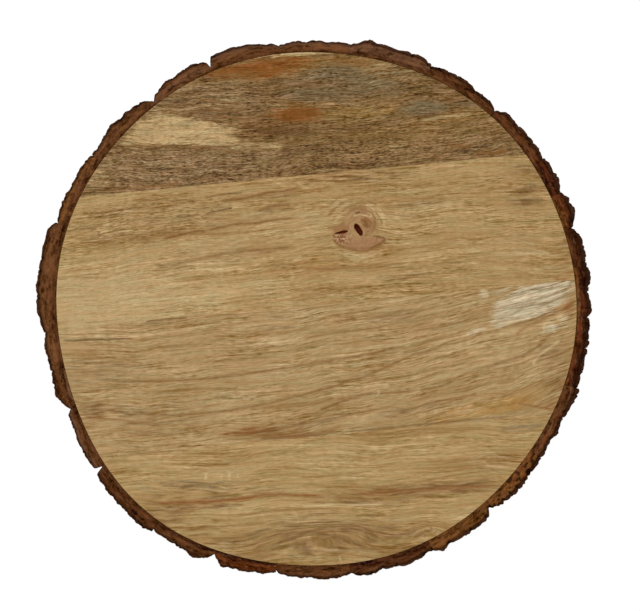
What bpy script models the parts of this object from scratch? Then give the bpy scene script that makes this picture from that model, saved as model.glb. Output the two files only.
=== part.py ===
"""A round board of four edge-glued planks, ringed by separate plates of tree bark.

Metres, +Z up. The origin is the centre of the board's underside. Seen from above, the planks run
from left (-X) to right (+X), rising slightly to the right, and are numbered from the top (+Y) down.
Directions round the rim are in degrees, counter-clockwise from +X.
"""

import math
from typing import NamedTuple

import bmesh
import bpy
from mathutils import Matrix, Vector

MM = 0.001
# Neighbours that touch on the real board are kept this far apart: it stands for the glue line.
GLUE_LINE = 0.3 * MM

BOARD_THICKNESS = 22.0 * MM
RIM_RADIUS = 189.3 * MM
RIM_SIDES = 240
EASED_EDGE = 0.5 * MM
MERGE_DISTANCE = 0.0001 * MM

# The seams between planks are parallel and meet the Y axis at these heights.
SEAM_HEIGHTS = (97.6 * MM, 2.2 * MM, -94.0 * MM)
SEAM_SLOPE = math.radians(5.45)

# The crack in the heart of the knot, in the second plank.
KNOT_CRACK_CENTRE = Vector((31.8 * MM, 57.4 * MM, BOARD_THICKNESS))
KNOT_CRACK_LENGTH = 9.5 * MM
KNOT_CRACK_WIDTH = 4.0 * MM
KNOT_CRACK_DEPTH = 6.0 * MM
KNOT_CRACK_TURN = math.radians(-57.0)
KNOT_CRACK_FLOOR_SHARE = 0.45
KNOT_CRACK_SIDES = 14

BARK_FOOT = 0.8 * MM
BARK_TOP = BOARD_THICKNESS - 0.5 * MM
BARK_TOP_VARIATION = 0.3 * MM
BARK_STATION_DEGREES = 0.9
# The top of a plate is sawn flat out to this share of its thickness. On the +X side the outer
# surface starts to fall away further in.
SAWN_SHARE = 0.86
SAWN_SHARE_LOST_AT_RIGHT = 0.20


class Wave(NamedTuple):
    """A slow wave in the hand-sawn rim: crests in one turn, height, direction of a crest."""

    count: int
    height: float
    crest: float


RIM_WAVES = (
    Wave(1, 0.6 * MM, -72.0),
    Wave(2, 1.2 * MM, 22.0),
    Wave(3, 1.0 * MM, 8.0),
    Wave(4, 0.7 * MM, -38.0),
    Wave(5, 0.4 * MM, 14.0),
    Wave(6, 0.8 * MM, -10.0),
)


class Level(NamedTuple):
    """A height on a plate's outer face: share of its height, of its thickness, and of its ridges."""

    height: float
    outward: float
    ridged: float


# From just under the sawn top down to the foot.
OUTER_LEVELS = (
    Level(0.91, 0.985, 0.25),
    Level(0.68, 1.00, 0.75),
    Level(0.40, 0.96, 1.00),
    Level(0.16, 0.88, 0.85),
    Level(0.00, 0.74, 0.60),
)


class Ridge(NamedTuple):
    """A run of rounded ridges with sharp furrows: width, height, and sway over the plate's height."""

    width: float
    height: float
    sway: float
    sway_height: float
    start: float


BARK_RIDGES = (
    Ridge(12.5 * MM, 2.0 * MM, 0.5, 31.0 * MM, 0.4),
    Ridge(8.1 * MM, 1.0 * MM, 0.8, 19.0 * MM, 2.1),
    Ridge(29.0 * MM, 0.9 * MM, 0.4, 44.0 * MM, 4.4),
)
MEAN_RIDGE = 2 / math.pi
CROSS_CRACK_SPACING = 8.5 * MM
CROSS_CRACK_DEPTH = 0.4 * MM
TOP_EDGE_RIDGED = 0.2

SHARPEST_SMOOTH_ANGLE = math.radians(35.0)
# sRGB colours, 0 to 255.
PLANK_COLOURS = ((150, 122, 82), (190, 156, 107), (184, 148, 98), (186, 150, 100))
BARK_COLOURS = {
    "brown": (92, 58, 38),
    "maroon": (62, 30, 22),
    "red": (104, 54, 34),
    "tan": (118, 82, 54),
}
PLANK_ROUGHNESS = 0.5
BARK_ROUGHNESS = 0.9


class Plate(NamedTuple):
    """A bark plate: its tone, and crests and dips of its outline as (direction, thickness in mm)."""

    tone: str
    outline: tuple


# Counter-clockwise, from the plate that points to the right.
PLATES = (
    Plate("maroon", ((-2.0, 8.5), (-0.5, 11.5), (3.5, 9.5), (7.5, 13.0), (8.8, 10.5))),
    Plate("red", ((8.8, 10.0), (11.8, 11.5), (13.6, 11.0), (15.0, 11.5), (17.3, 7.0))),
    Plate("red", ((17.3, 7.0), (19.0, 11.0), (21.0, 13.0), (23.5, 12.0), (25.2, 9.0))),
    Plate("maroon", ((25.2, 9.0), (28.0, 11.5), (32.0, 11.5), (33.3, 9.5))),
    Plate("brown", ((33.3, 9.0), (34.5, 10.0), (39.0, 11.0), (43.0, 9.0), (45.0, 11.0), (47.7, 5.5))),
    Plate("red", ((47.7, 5.5), (49.0, 8.0), (53.0, 9.0), (57.0, 11.0), (61.0, 10.0), (64.3, 9.5))),
    Plate("tan", ((64.3, 9.5), (67.5, 12.5), (72.0, 11.5), (78.5, 13.5), (82.2, 8.5))),
    Plate(
        "tan",
        ((82.2, 8.5), (84.5, 9.5), (87.0, 8.0), (89.5, 9.5), (92.0, 8.5), (94.5, 9.0), (97.8, 6.5)),
    ),
    Plate("brown", ((97.8, 6.5), (99.0, 8.5), (104.5, 11.5), (109.0, 12.0), (112.5, 11.5), (113.4, 8.0))),
    Plate(
        "brown",
        ((113.4, 7.5), (114.5, 9.5), (117.0, 11.5), (120, 10.5), (124.5, 10), (127.0, 7.0), (128, 3.5)),
    ),
    Plate(
        "brown",
        ((128.0, 3.5), (129.2, 7.5), (130.5, 9.5), (134.0, 10.5), (138.5, 12.0), (142.0, 9.5), (145.5, 9.0)),
    ),
    Plate("red", ((145.5, 8.5), (147.0, 10.5), (152.0, 10.0), (157.0, 11.0), (161.0, 10.5), (161.7, 9.5))),
    Plate("tan", ((161.7, 10.5), (163.5, 14.0), (169.0, 14.5), (176.0, 15.5), (180.0, 15.0), (185.2, 11.5))),
    Plate("brown", ((185.2, 10.5), (188.5, 12.0), (191.0, 11.5), (193.4, 11.0))),
    Plate("brown", ((193.4, 10.5), (195.0, 11.5), (198.8, 12.5), (201.0, 8.5), (202.5, 5.0))),
    Plate("brown", ((202.5, 5.5), (203.7, 8.5), (206.0, 8.5), (210.0, 9.5), (213.8, 10.0), (216.6, 8.0))),
    Plate("maroon", ((216.6, 8), (217.5, 10), (222.0, 11), (226.0, 10.5), (230.5, 12), (233.9, 10.5))),
    Plate(
        "red",
        ((233.9, 8.0), (235.0, 8.5), (238.8, 9.5), (241.0, 9.0), (244.0, 11.5), (246.5, 8.5), (247.8, 4.5)),
    ),
    Plate("red", ((247.8, 4.5), (250.0, 11.0), (254.0, 10.5), (258.0, 9.5), (261.6, 7.5))),
    Plate("brown", ((261.6, 7.0), (262.5, 8.5), (268.0, 9.5), (273.0, 10.5), (277.7, 8.5))),
    Plate("maroon", ((277.7, 8.5), (279.0, 10.5), (281.8, 12.0), (283.8, 10.0))),
    Plate("brown", ((283.8, 9.5), (286.0, 9.5), (290.0, 11.0), (293.0, 10.0), (296.0, 9.0))),
    Plate("tan", ((296.0, 9.0), (298.0, 12.5), (300.0, 11.0), (307.0, 12.0), (310.0, 10.5), (311.0, 6.5))),
    Plate("red", ((311.0, 6.5), (313.0, 10.0), (316.0, 11.5), (319.5, 12.0), (322.0, 11.0), (326.5, 10.5))),
    Plate(
        "tan",
        (
            (326.5, 9.5),
            (328.5, 10.5),
            (331.0, 9.0),
            (332.5, 11.0),
            (335.0, 9.5),
            (340.0, 11.0),
            (342.0, 12.5),
            (343.0, 11.5),
        ),
    ),
    Plate("maroon", ((343.0, 10.5), (344.0, 11), (348, 10), (353.0, 11), (357.0, 10.5), (358.0, 8.5))),
)


def remove_everything():
    """Empties the scene."""
    for thing in list(bpy.data.objects):
        bpy.data.objects.remove(thing, do_unlink=True)


def linear(level):
    """Turns one sRGB level, 0 to 255, into linear light."""
    share = level / 255
    return share / 12.92 if share <= 0.04045 else ((share + 0.055) / 1.055) ** 2.4


def principled(name, colour, roughness):
    """A plain non-metallic material."""
    material = bpy.data.materials.new(name)
    material.use_nodes = True
    shader = material.node_tree.nodes["Principled BSDF"]
    shader.inputs["Base Color"].default_value = (*map(linear, colour), 1.0)
    shader.inputs["Roughness"].default_value = roughness
    shader.inputs["Metallic"].default_value = 0.0
    return material


def add_object(name, mesh_builder, material):
    """Makes an object of a finished bmesh and frees the bmesh."""
    bmesh.ops.recalc_face_normals(mesh_builder, faces=mesh_builder.faces)
    mesh = bpy.data.meshes.new(name)
    mesh_builder.to_mesh(mesh)
    mesh_builder.free()
    mesh.shade_smooth()
    mesh.set_sharp_from_angle(angle=SHARPEST_SMOOTH_ANGLE)
    mesh.materials.append(material)
    thing = bpy.data.objects.new(name, mesh)
    bpy.context.scene.collection.objects.link(thing)
    return thing


def rim_radius(degrees):
    """How far the rim of the planks lies from the centre in one direction."""
    waves = sum(w.height * math.cos(w.count * math.radians(degrees - w.crest)) for w in RIM_WAVES)
    return RIM_RADIUS + waves


def polar(degrees, radius, height):
    """The point at a distance from the board's axis, in one direction and at one height."""
    angle = math.radians(degrees)
    return Vector((radius * math.cos(angle), radius * math.sin(angle), height))


def board_blank():
    """The whole round board before it is divided: the rim, extruded, with its top edge eased."""
    blank = bmesh.new()
    directions = [360 * step / RIM_SIDES for step in range(RIM_SIDES)]
    underside = blank.faces.new([blank.verts.new(polar(d, rim_radius(d), 0)) for d in directions])
    extruded = bmesh.ops.extrude_face_region(blank, geom=[underside])["geom"]
    top = next(part for part in extruded if isinstance(part, bmesh.types.BMFace))
    bmesh.ops.translate(blank, verts=top.verts, vec=(0, 0, BOARD_THICKNESS))
    bmesh.ops.bevel(blank, geom=list(top.edges), offset=EASED_EDGE, segments=1, affect="EDGES")
    return blank


def cut_along_seam(blank, seam_height, keep_above):
    """Cuts the blank along one seam, half a glue line away from it, and closes the cut."""
    across = Vector((-math.sin(SEAM_SLOPE), math.cos(SEAM_SLOPE), 0))
    side = 1 if keep_above else -1
    point = Vector((0, seam_height, 0)) + across * side * GLUE_LINE / 2
    everything = [*blank.verts, *blank.edges, *blank.faces]
    bmesh.ops.bisect_plane(
        blank,
        geom=everything,
        dist=MERGE_DISTANCE,
        plane_co=point,
        plane_no=across * side,
        clear_inner=True,
    )
    bmesh.ops.holes_fill(blank, edges=[edge for edge in blank.edges if edge.is_boundary], sides=0)


def make_plank(number):
    """One plank: the part of the blank between the seams above and below it."""
    blank = board_blank()
    if number > 0:
        cut_along_seam(blank, SEAM_HEIGHTS[number - 1], keep_above=False)
    if number < len(SEAM_HEIGHTS):
        cut_along_seam(blank, SEAM_HEIGHTS[number], keep_above=True)
    name = f"plank_{number + 1}"
    return add_object(name, blank, principled(name, PLANK_COLOURS[number], PLANK_ROUGHNESS))


def cut_knot_crack(plank):
    """Opens the crack in the knot: a tapered oval pocket, cut from above."""
    cutter_mesh = bmesh.new()
    bmesh.ops.create_cone(
        cutter_mesh,
        cap_ends=True,
        segments=KNOT_CRACK_SIDES,
        radius1=KNOT_CRACK_FLOOR_SHARE / 2,
        radius2=1 - KNOT_CRACK_FLOOR_SHARE / 2,
        depth=2 * KNOT_CRACK_DEPTH,
    )
    size = Matrix.Diagonal((KNOT_CRACK_LENGTH, KNOT_CRACK_WIDTH, 1.0, 1.0))
    turn = Matrix.Rotation(KNOT_CRACK_TURN, 4, "Z")
    bmesh.ops.transform(cutter_mesh, matrix=turn @ size, verts=cutter_mesh.verts)
    cutter = add_object("knot_crack_cutter", cutter_mesh, plank.data.materials[0])
    cutter.location = KNOT_CRACK_CENTRE
    cutter.hide_render = True
    cutter.display_type = "WIRE"
    cut = plank.modifiers.new("knot crack", "BOOLEAN")
    cut.operation = "DIFFERENCE"
    cut.solver = "EXACT"
    cut.object = cutter


def thickness_at(outline, degrees):
    """The thickness of a plate in one direction, flat at each crest and dip of its outline."""
    for (before, thin), (after, thick) in zip(outline, outline[1:]):
        if degrees <= after:
            share = (degrees - before) / (after - before)
            eased = (1 - math.cos(math.pi * min(max(share, 0), 1))) / 2
            return (thin + (thick - thin) * eased) * MM
    return outline[-1][1] * MM


def ridge_height(arc, height):
    """How far the rough outer face stands out, by the length along the rim and the height."""
    ridges = 0.0
    for ridge in BARK_RIDGES:
        sway = ridge.sway * math.sin(2 * math.pi * height / ridge.sway_height + ridge.start)
        crest = abs(math.sin(math.pi * arc / ridge.width + sway + ridge.start))
        ridges += ridge.height * (crest - MEAN_RIDGE)
    cracks = max(0.0, math.sin(2 * math.pi * height / CROSS_CRACK_SPACING + arc / CROSS_CRACK_SPACING))
    return ridges - CROSS_CRACK_DEPTH * cracks


def plate_section(outline, degrees, top):
    """The outline of a plate, cut straight outwards: up the glued face, out over the top, down."""
    inner = rim_radius(degrees) + GLUE_LINE
    thickness = thickness_at(outline, degrees) - GLUE_LINE
    arc = inner * math.radians(degrees)
    facing_right = max(0.0, math.cos(math.radians(degrees)))
    sawn = thickness * (SAWN_SHARE - SAWN_SHARE_LOST_AT_RIGHT * facing_right)
    sawn += ridge_height(arc, top) * TOP_EDGE_RIDGED
    section = [polar(degrees, inner, height) for height in (BARK_FOOT, top)]
    section.append(polar(degrees, inner + sawn, top))
    for level in OUTER_LEVELS:
        height = BARK_FOOT + (top - BARK_FOOT) * level.height
        out = thickness * level.outward + ridge_height(arc, height) * level.ridged
        section.append(polar(degrees, inner + out, height))
    return section


def plate_directions(outline):
    """Where a plate's sections stand, from end to end, with a station at each crest and dip."""
    half_gap = math.degrees(GLUE_LINE / 2 / RIM_RADIUS)
    stops = [outline[0][0] + half_gap, *(degrees for degrees, _ in outline[1:-1]), outline[-1][0] - half_gap]
    directions = [stops[0]]
    for before, after in zip(stops, stops[1:]):
        steps = max(1, round((after - before) / BARK_STATION_DEGREES))
        directions += [before + (after - before) * step / steps for step in range(1, steps + 1)]
    return directions


def sweep(sections):
    """Extrudes a face, made from the first section, through all the others."""
    body = bmesh.new()
    first = body.faces.new([body.verts.new(point) for point in sections[0]])
    face = first
    for section in sections[1:]:
        extruded = bmesh.ops.extrude_face_region(body, geom=[face])["geom"]
        if face is not first:
            body.faces.remove(face)
        face = next(part for part in extruded if isinstance(part, bmesh.types.BMFace))
        for vert, point in zip(face.verts, section):
            vert.co = point
    return body


def make_bark_plate(number, plate):
    """One plate of bark, glued to the rim, a little lower than the board's top."""
    top = BARK_TOP + BARK_TOP_VARIATION * math.sin(number * math.e)
    sections = [plate_section(plate.outline, degrees, top) for degrees in plate_directions(plate.outline)]
    name = f"bark_{number + 1:02d}"
    add_object(name, sweep(sections), principled(name, BARK_COLOURS[plate.tone], BARK_ROUGHNESS))


def build():
    """Makes the planks and the ring of bark."""
    remove_everything()
    planks = [make_plank(number) for number in range(len(SEAM_HEIGHTS) + 1)]
    cut_knot_crack(planks[1])
    for number, plate in enumerate(PLATES):
        make_bark_plate(number, plate)


build()
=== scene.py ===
"""Looks of a round board of four edge-glued planks, ringed by separate plates of tree bark.

The frame is in metres, +Z up, with its origin at the centre of the board's underside. Design values
here are in millimetres, and colours are sRGB levels from 0 to 255. The planks run from left (-X) to
right (+X) and rise slightly to the right. Directions round the rim are in degrees from +X.
"""

import math
from typing import NamedTuple

import bpy
import numpy as np
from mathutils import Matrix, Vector
from mathutils.bvhtree import BVHTree
from mathutils.geometry import delaunay_2d_cdt


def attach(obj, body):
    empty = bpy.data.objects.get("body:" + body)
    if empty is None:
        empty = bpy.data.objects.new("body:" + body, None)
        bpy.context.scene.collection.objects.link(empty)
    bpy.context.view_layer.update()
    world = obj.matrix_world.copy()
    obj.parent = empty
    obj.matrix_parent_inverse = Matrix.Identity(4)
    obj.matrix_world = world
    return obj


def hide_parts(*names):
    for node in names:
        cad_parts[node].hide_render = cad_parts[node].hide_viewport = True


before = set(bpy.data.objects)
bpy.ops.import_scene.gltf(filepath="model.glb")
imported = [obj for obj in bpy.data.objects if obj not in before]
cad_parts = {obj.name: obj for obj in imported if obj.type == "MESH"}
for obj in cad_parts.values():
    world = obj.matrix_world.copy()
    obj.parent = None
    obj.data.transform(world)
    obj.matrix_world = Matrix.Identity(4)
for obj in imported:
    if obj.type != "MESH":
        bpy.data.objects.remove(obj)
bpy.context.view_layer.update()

MM = 0.001
THICKNESS = 22.0
EASED_EDGE = 0.5

# The seams between planks rise to the right at this angle. "Along" and "across" are measured with
# respect to them.
SEAM_SLOPE = math.radians(5.45)
ALONG = np.array([math.cos(SEAM_SLOPE), math.sin(SEAM_SLOPE)])
ACROSS = np.array([-math.sin(SEAM_SLOPE), math.cos(SEAM_SLOPE)])

# Spacing of the points on the planks: top surface, round the knot, underside, and on the edges.
TOP_STEP_ALONG = 1.6
TOP_STEP_ACROSS = 0.45
KNOT_STEP = 0.35
UNDERSIDE_STEP = 3.2
RIM_STEP = 1.1
EASED_STEPS = (0.07, 0.2, 0.5, 1.1)
WALL_HEIGHTS = (17.0, 12.0, 6.0)
RIM_REACH = 180.0
LATTICE_REACH = 200.0
# How far the even points stay from the rim and the seams, on the top and on the underside.
TOP_CLEARANCE = (1.5, 0.25)
UNDERSIDE_CLEARANCE = (1.5, 1.0)
# Neighbours are drawn together to a hair's breadth of each other at the seams.
SEAM_PLACES = tuple(height * math.cos(SEAM_SLOPE) for height in (97.6, 2.2, -94.0))
SEAM_CLOSING = 0.148
WOOD_SHARP_ANGLE = math.radians(40)
# The colour of the pits is kept to points above this height.
PIT_LOWEST = 10.0
# How fast the growth lines shift with depth, which draws them on the walls and the underside.
WALL_GRAIN = 0.6

# Planks are numbered from the back (+Y) to the front.
BACK_PLANK = 0
KNOT_PLANK = 1
FRONT_PLANK = 3


class Grain(NamedTuple):
    """How the growth lines of one plank lie: their slope to the seams, their bend, and waves."""

    slope: float
    bend: float
    waves: tuple
    wander: float


class Bump(NamedTuple):
    """A hill or hollow in the growth lines, which makes an eye or a swirl."""

    plank: int
    x: float
    y: float
    height: float
    length: float
    width: float


GRAINS = (
    Grain(-0.030, 0.00016, ((0.7, 74.0, 0.6), (0.35, 31.0, 2.0)), 1.3),
    Grain(-0.010, -0.00010, ((0.6, 120.0, 1.0), (0.25, 47.0, 0.2)), 0.9),
    Grain(0.047, 0.000309, ((0.7, 96.0, 0.3), (0.35, 39.0, 1.1)), 1.0),
    Grain(-0.060, 0.0, ((1.1, 118.0, 2.6), (0.5, 52.0, 0.4)), 1.0),
)

BUMPS = (
    Bump(3, 8.8, -165.6, 9.5, 35.0, 8.0),
    Bump(0, -36.0, 146.5, 2.2, 12.0, 4.6),
    Bump(3, 84.0, -162.0, 4.5, 10.0, 4.0),
    Bump(2, 196.0, -52.0, 9.0, 36.0, 26.0),
)

# Tinted areas of wood by kind, and areas of painted sheen where the wood shines silvery: x, y, half
# length along the grain, half width across it, strength.
PATCHES = {
    "brown": (
        (-18, -88, 40, 4.5, 0.45), (-20, 163, 44, 3.5, 0.7), (0, 130.5, 40, 3.5, 0.6),
        (0, 108.1, 56, 14, 0.35),
        (95, 118, 50, 8, 0.5), (-80, 93.5, 60, 3, 0.6), (-29, 98, 27, 3.5, 0.7), (108, 154, 18, 6, 0.8),
        (73, 75.3, 20, 3.5, 0.5), (66, 23.7, 20, 4, 0.35), (57, -6, 18, 4, 0.45),
        (-22, -12.4, 22, 9, 0.25), (-82, -144, 30, 3.5, 0.5), (-109, -151, 18, 8, 0.6),
        (-66, -171, 15, 5, 0.6), (-4, -175.6, 9, 4, 0.6), (35, -178, 13, 3.5, 0.45),
        (-33, 75.5, 26, 10, 0.25), (29, 104.2, 50, 4, 0.6), (29, 95.7, 45, 4.5, 0.45),
        (157, 93.5, 18, 14, 0.35), (173, -32, 12, 9, 0.4), (73, -74.4, 26, 4, 0.4),
        (-160, -75.8, 14, 7, 0.6), (-60, -64.2, 12, 3.5, 0.5), (-120, -72.2, 44, 4, 0.35),
        (-84, -136.4, 55, 8, 0.4), (-84, -162, 36, 12, 0.25), (-18, -169.3, 6, 4, 0.5),
        (-113, 62.9, 62, 17, 0.25), (159, 78, 13, 4, 0.5), (153, 86, 13, 4, 0.45),
        (-73, 39.5, 54, 6, 0.35), (178, -46.6, 15, 16, 0.3), (-142, -77.3, 30, 3.4, 0.4),
        (90, -131.5, 62, 5, 0.6), (100, 133, 44, 9, 0.35), (36, -141, 34, 3.5, 0.6),
        (10, -161, 75, 15, 0.6), (-119, -86, 40, 9, 0.3), (11, -159.8, 66, 13, 0.35),
        (6, -165.5, 9, 3.2, 0.8), (-22, -163, 9, 4, 0.55), (30, -161, 9, 3, 0.4),
    ),
    "olive": (
        (22, 178, 34, 6, 0.7), (-4, 109.6, 32, 5, 0.3), (77, 124.2, 60, 9.5, 0.7),
        (55, 127, 45, 4.5, 0.8), (84, 128, 36, 3.5, 0.7), (28, 139.5, 26, 5, 0.5),
    ),
    "pale": (
        (-4, 162.9, 14, 3.6, 0.1), (40, 161.5, 26, 5.5, 0.15), (-73, 150.5, 30, 7, 0.2),
        (62, 119, 14, 4, 0.15), (-11, 186.2, 26, 2.2, 0.8), (-100, 153.4, 24, 9, 0.15),
        (-84, 38, 42, 15, 0.6), (29, 38.5, 11, 4, 0.7), (27, -35, 26, 3.6, 0.7),
        (110, -43.5, 27, 6, 0.8), (115, -149, 8, 7, 0.6), (-160, 93.5, 12, 6.5, 0.45),
        (141, 42.4, 34, 20, 0.35), (-108, -112.3, 32, 8, 0.35), (124, -110.9, 16, 8, 0.45),
        (-152, 4, 60, 26, 1.1), (132, -35, 30, 8, 0.5), (18, -107.2, 60, 9, 0.35),
        (-66, -118.9, 27, 5, 0.5), (106, -30, 50, 20, 0.5), (96, -42, 44, 9, 0.45),
        (-20, 56, 46, 9, 0.35),
    ),
    "grey": (
        (58, 169.4, 30, 9, 0.35), (-153, -46.6, 34, 14, 0.25), (-88, -128.5, 40, 3.6, 0.4),
        (150, 76, 14, 6, 0.3), (111, 150.4, 13, 4, 0.8), (-55, 148.6, 18, 7, 0.25),
        (-113, -10.1, 15, 5, 0.3), (151, -87.5, 18, 3.4, 0.35),
    ),
    "purple": (
        (-80, 152, 46, 14, 0.6), (-98, 100.8, 70, 17, 0.7),
    ),
    "ochre": (
        (140, -70, 28, 5, 1), (120, -72.9, 36, 6, 0.6), (-4, 33.7, 48, 4.6, 0.4),
        (128, -75.8, 36, 2.4, 0.8), (36, 143, 22, 5, 0.55), (104, 139, 18, 2.6, 0.7),
        (64, -162, 6, 3.2, 0.5),
    ),
    "orange": (
        (-153, -73, 12, 5, 0.25), (174, -65, 9, 12, 0.35), (186, -2, 5, 11, 0.4), (181, 36, 9, 18, 0.4),
        (-17, -93.4, 36, 3.6, 0.35), (11, 95, 26, 3.6, 0.3), (-42, -91, 26, 5, 0.7),
        (48, -134.5, 16, 3, 0.6), (-11, 142, 19, 6, 1.3), (4, 180, 22, 4, 0.7), (10, 143, 20, 4.5, 0.45),
        (-26, 134, 24, 5, 0.45),
    ),
    # Painted sheen: the silky, silvery shine of the wood fibres, drawn as a pale grey colour.
    "silver_sheen": (
        (118, -16.5, 7, 2.6, 0.45), (124, 11, 4, 4.2, 0.7), (138, 12.5, 8, 4.5, 0.45),
        (172, -14.5, 6, 4.4, 0.6), (182, -9.5, 4, 3.6, 0.6),
    ),
    "pores": (
        (0, -160, 80, 20, 0.3),
    ),
}

# Tinted or porous areas inside a given outline, by kind: softness, strength, outline.
AREAS = {
    "orange": (
        (5, 1, (
            (-78, 170), (-67, 175), (-32, 183), (-18, 186), (-3, 184), (4, 180), (1, 175), (-10, 174),
            (-29, 168), (-55, 169), (-67, 167),
        )),
        (4.5, 1, (
            (-28, 144), (-18, 148), (-6, 147), (1, 145), (5, 141), (1, 137), (-8, 136), (-18, 136),
            (-27, 140),
        )),
        (2, 0.4, (
            (114, 116), (125, 118), (135, 117), (141, 115), (131, 112), (118, 112),
        )),
    ),
    "brown": (
        (4, 0.8, (
            (-61, 130), (-52, 137), (-34, 138), (-18, 136), (14, 136), (16, 133), (-26, 128), (-32, 122),
            (-50, 121), (-57, 124),
        )),
    ),
    "pale": (
        (2.5, 1, (
            (-134, 130), (-128, 136), (-118, 141), (-109, 142), (-57, 130), (-60, 127), (-56, 122),
            (-61, 119), (-124, 120), (-138, 120),
        )),
        (3, 0.55, (
            (-65, 122), (-46, 123), (-30, 120), (-26, 117), (-39, 115), (-58, 115), (-66, 118),
        )),
    ),
    "grey": (
        (4, 0.85, (
            (3, 176), (17, 179), (39, 173), (64, 163), (61, 156), (46, 156), (32, 154), (22, 151),
            (7, 152), (-12, 152), (-29, 156), (-34, 164), (-26, 167), (-12, 169),
        )),
        (3, 0.95, (
            (66, 150), (80, 152), (92, 151), (100, 149), (96, 145), (84, 141), (71, 141), (64, 145),
        )),
        (3, 0.55, (
            (97, 115), (106, 120), (119, 124), (131, 122), (125, 117), (113, 112), (100, 111),
        )),
    ),
    "olive": (
        (2.5, 0.75, (
            (4, 143), (14, 146), (32, 146), (46, 144), (45, 140), (32, 138), (17, 133), (6, 136),
        )),
        (3, 0.8, (
            (65, 136), (119, 145), (131, 142), (128, 138), (96, 132), (77, 130), (65, 132),
        )),
    ),
    # Painted sheen: the silky, silvery shine of the wood fibres, drawn as a pale grey colour.
    "silver_sheen": (
        (2.2, 0.9, (
            (130, -7), (133, 2), (141, 10), (151, 15), (170, 19), (188, 21), (190, 17), (186, 13),
            (176, 0), (159, -7), (134, -14), (132, -11),
        )),
    ),
    "pores": (
        (4, 1, (
            (-158, 102), (-148, 115), (-128, 118), (-91, 118), (-39, 114), (4, 121), (48, 127),
            (118, 130), (135, 126), (141, 117), (113, 111), (62, 107), (-26, 95), (-84, 89), (-142, 85),
            (-166, 85),
        )),
        (5, 0.8, (
            (-164, 75), (-120, 80), (-77, 82), (-60, 76), (-74, 60), (-113, 51), (-160, 50), (-182, 56),
        )),
        (4, 0.6, (
            (-91, 162), (-69, 166), (-40, 164), (-30, 153), (-42, 143), (-74, 142), (-100, 148),
            (-106, 155),
        )),
    ),
}
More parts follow.
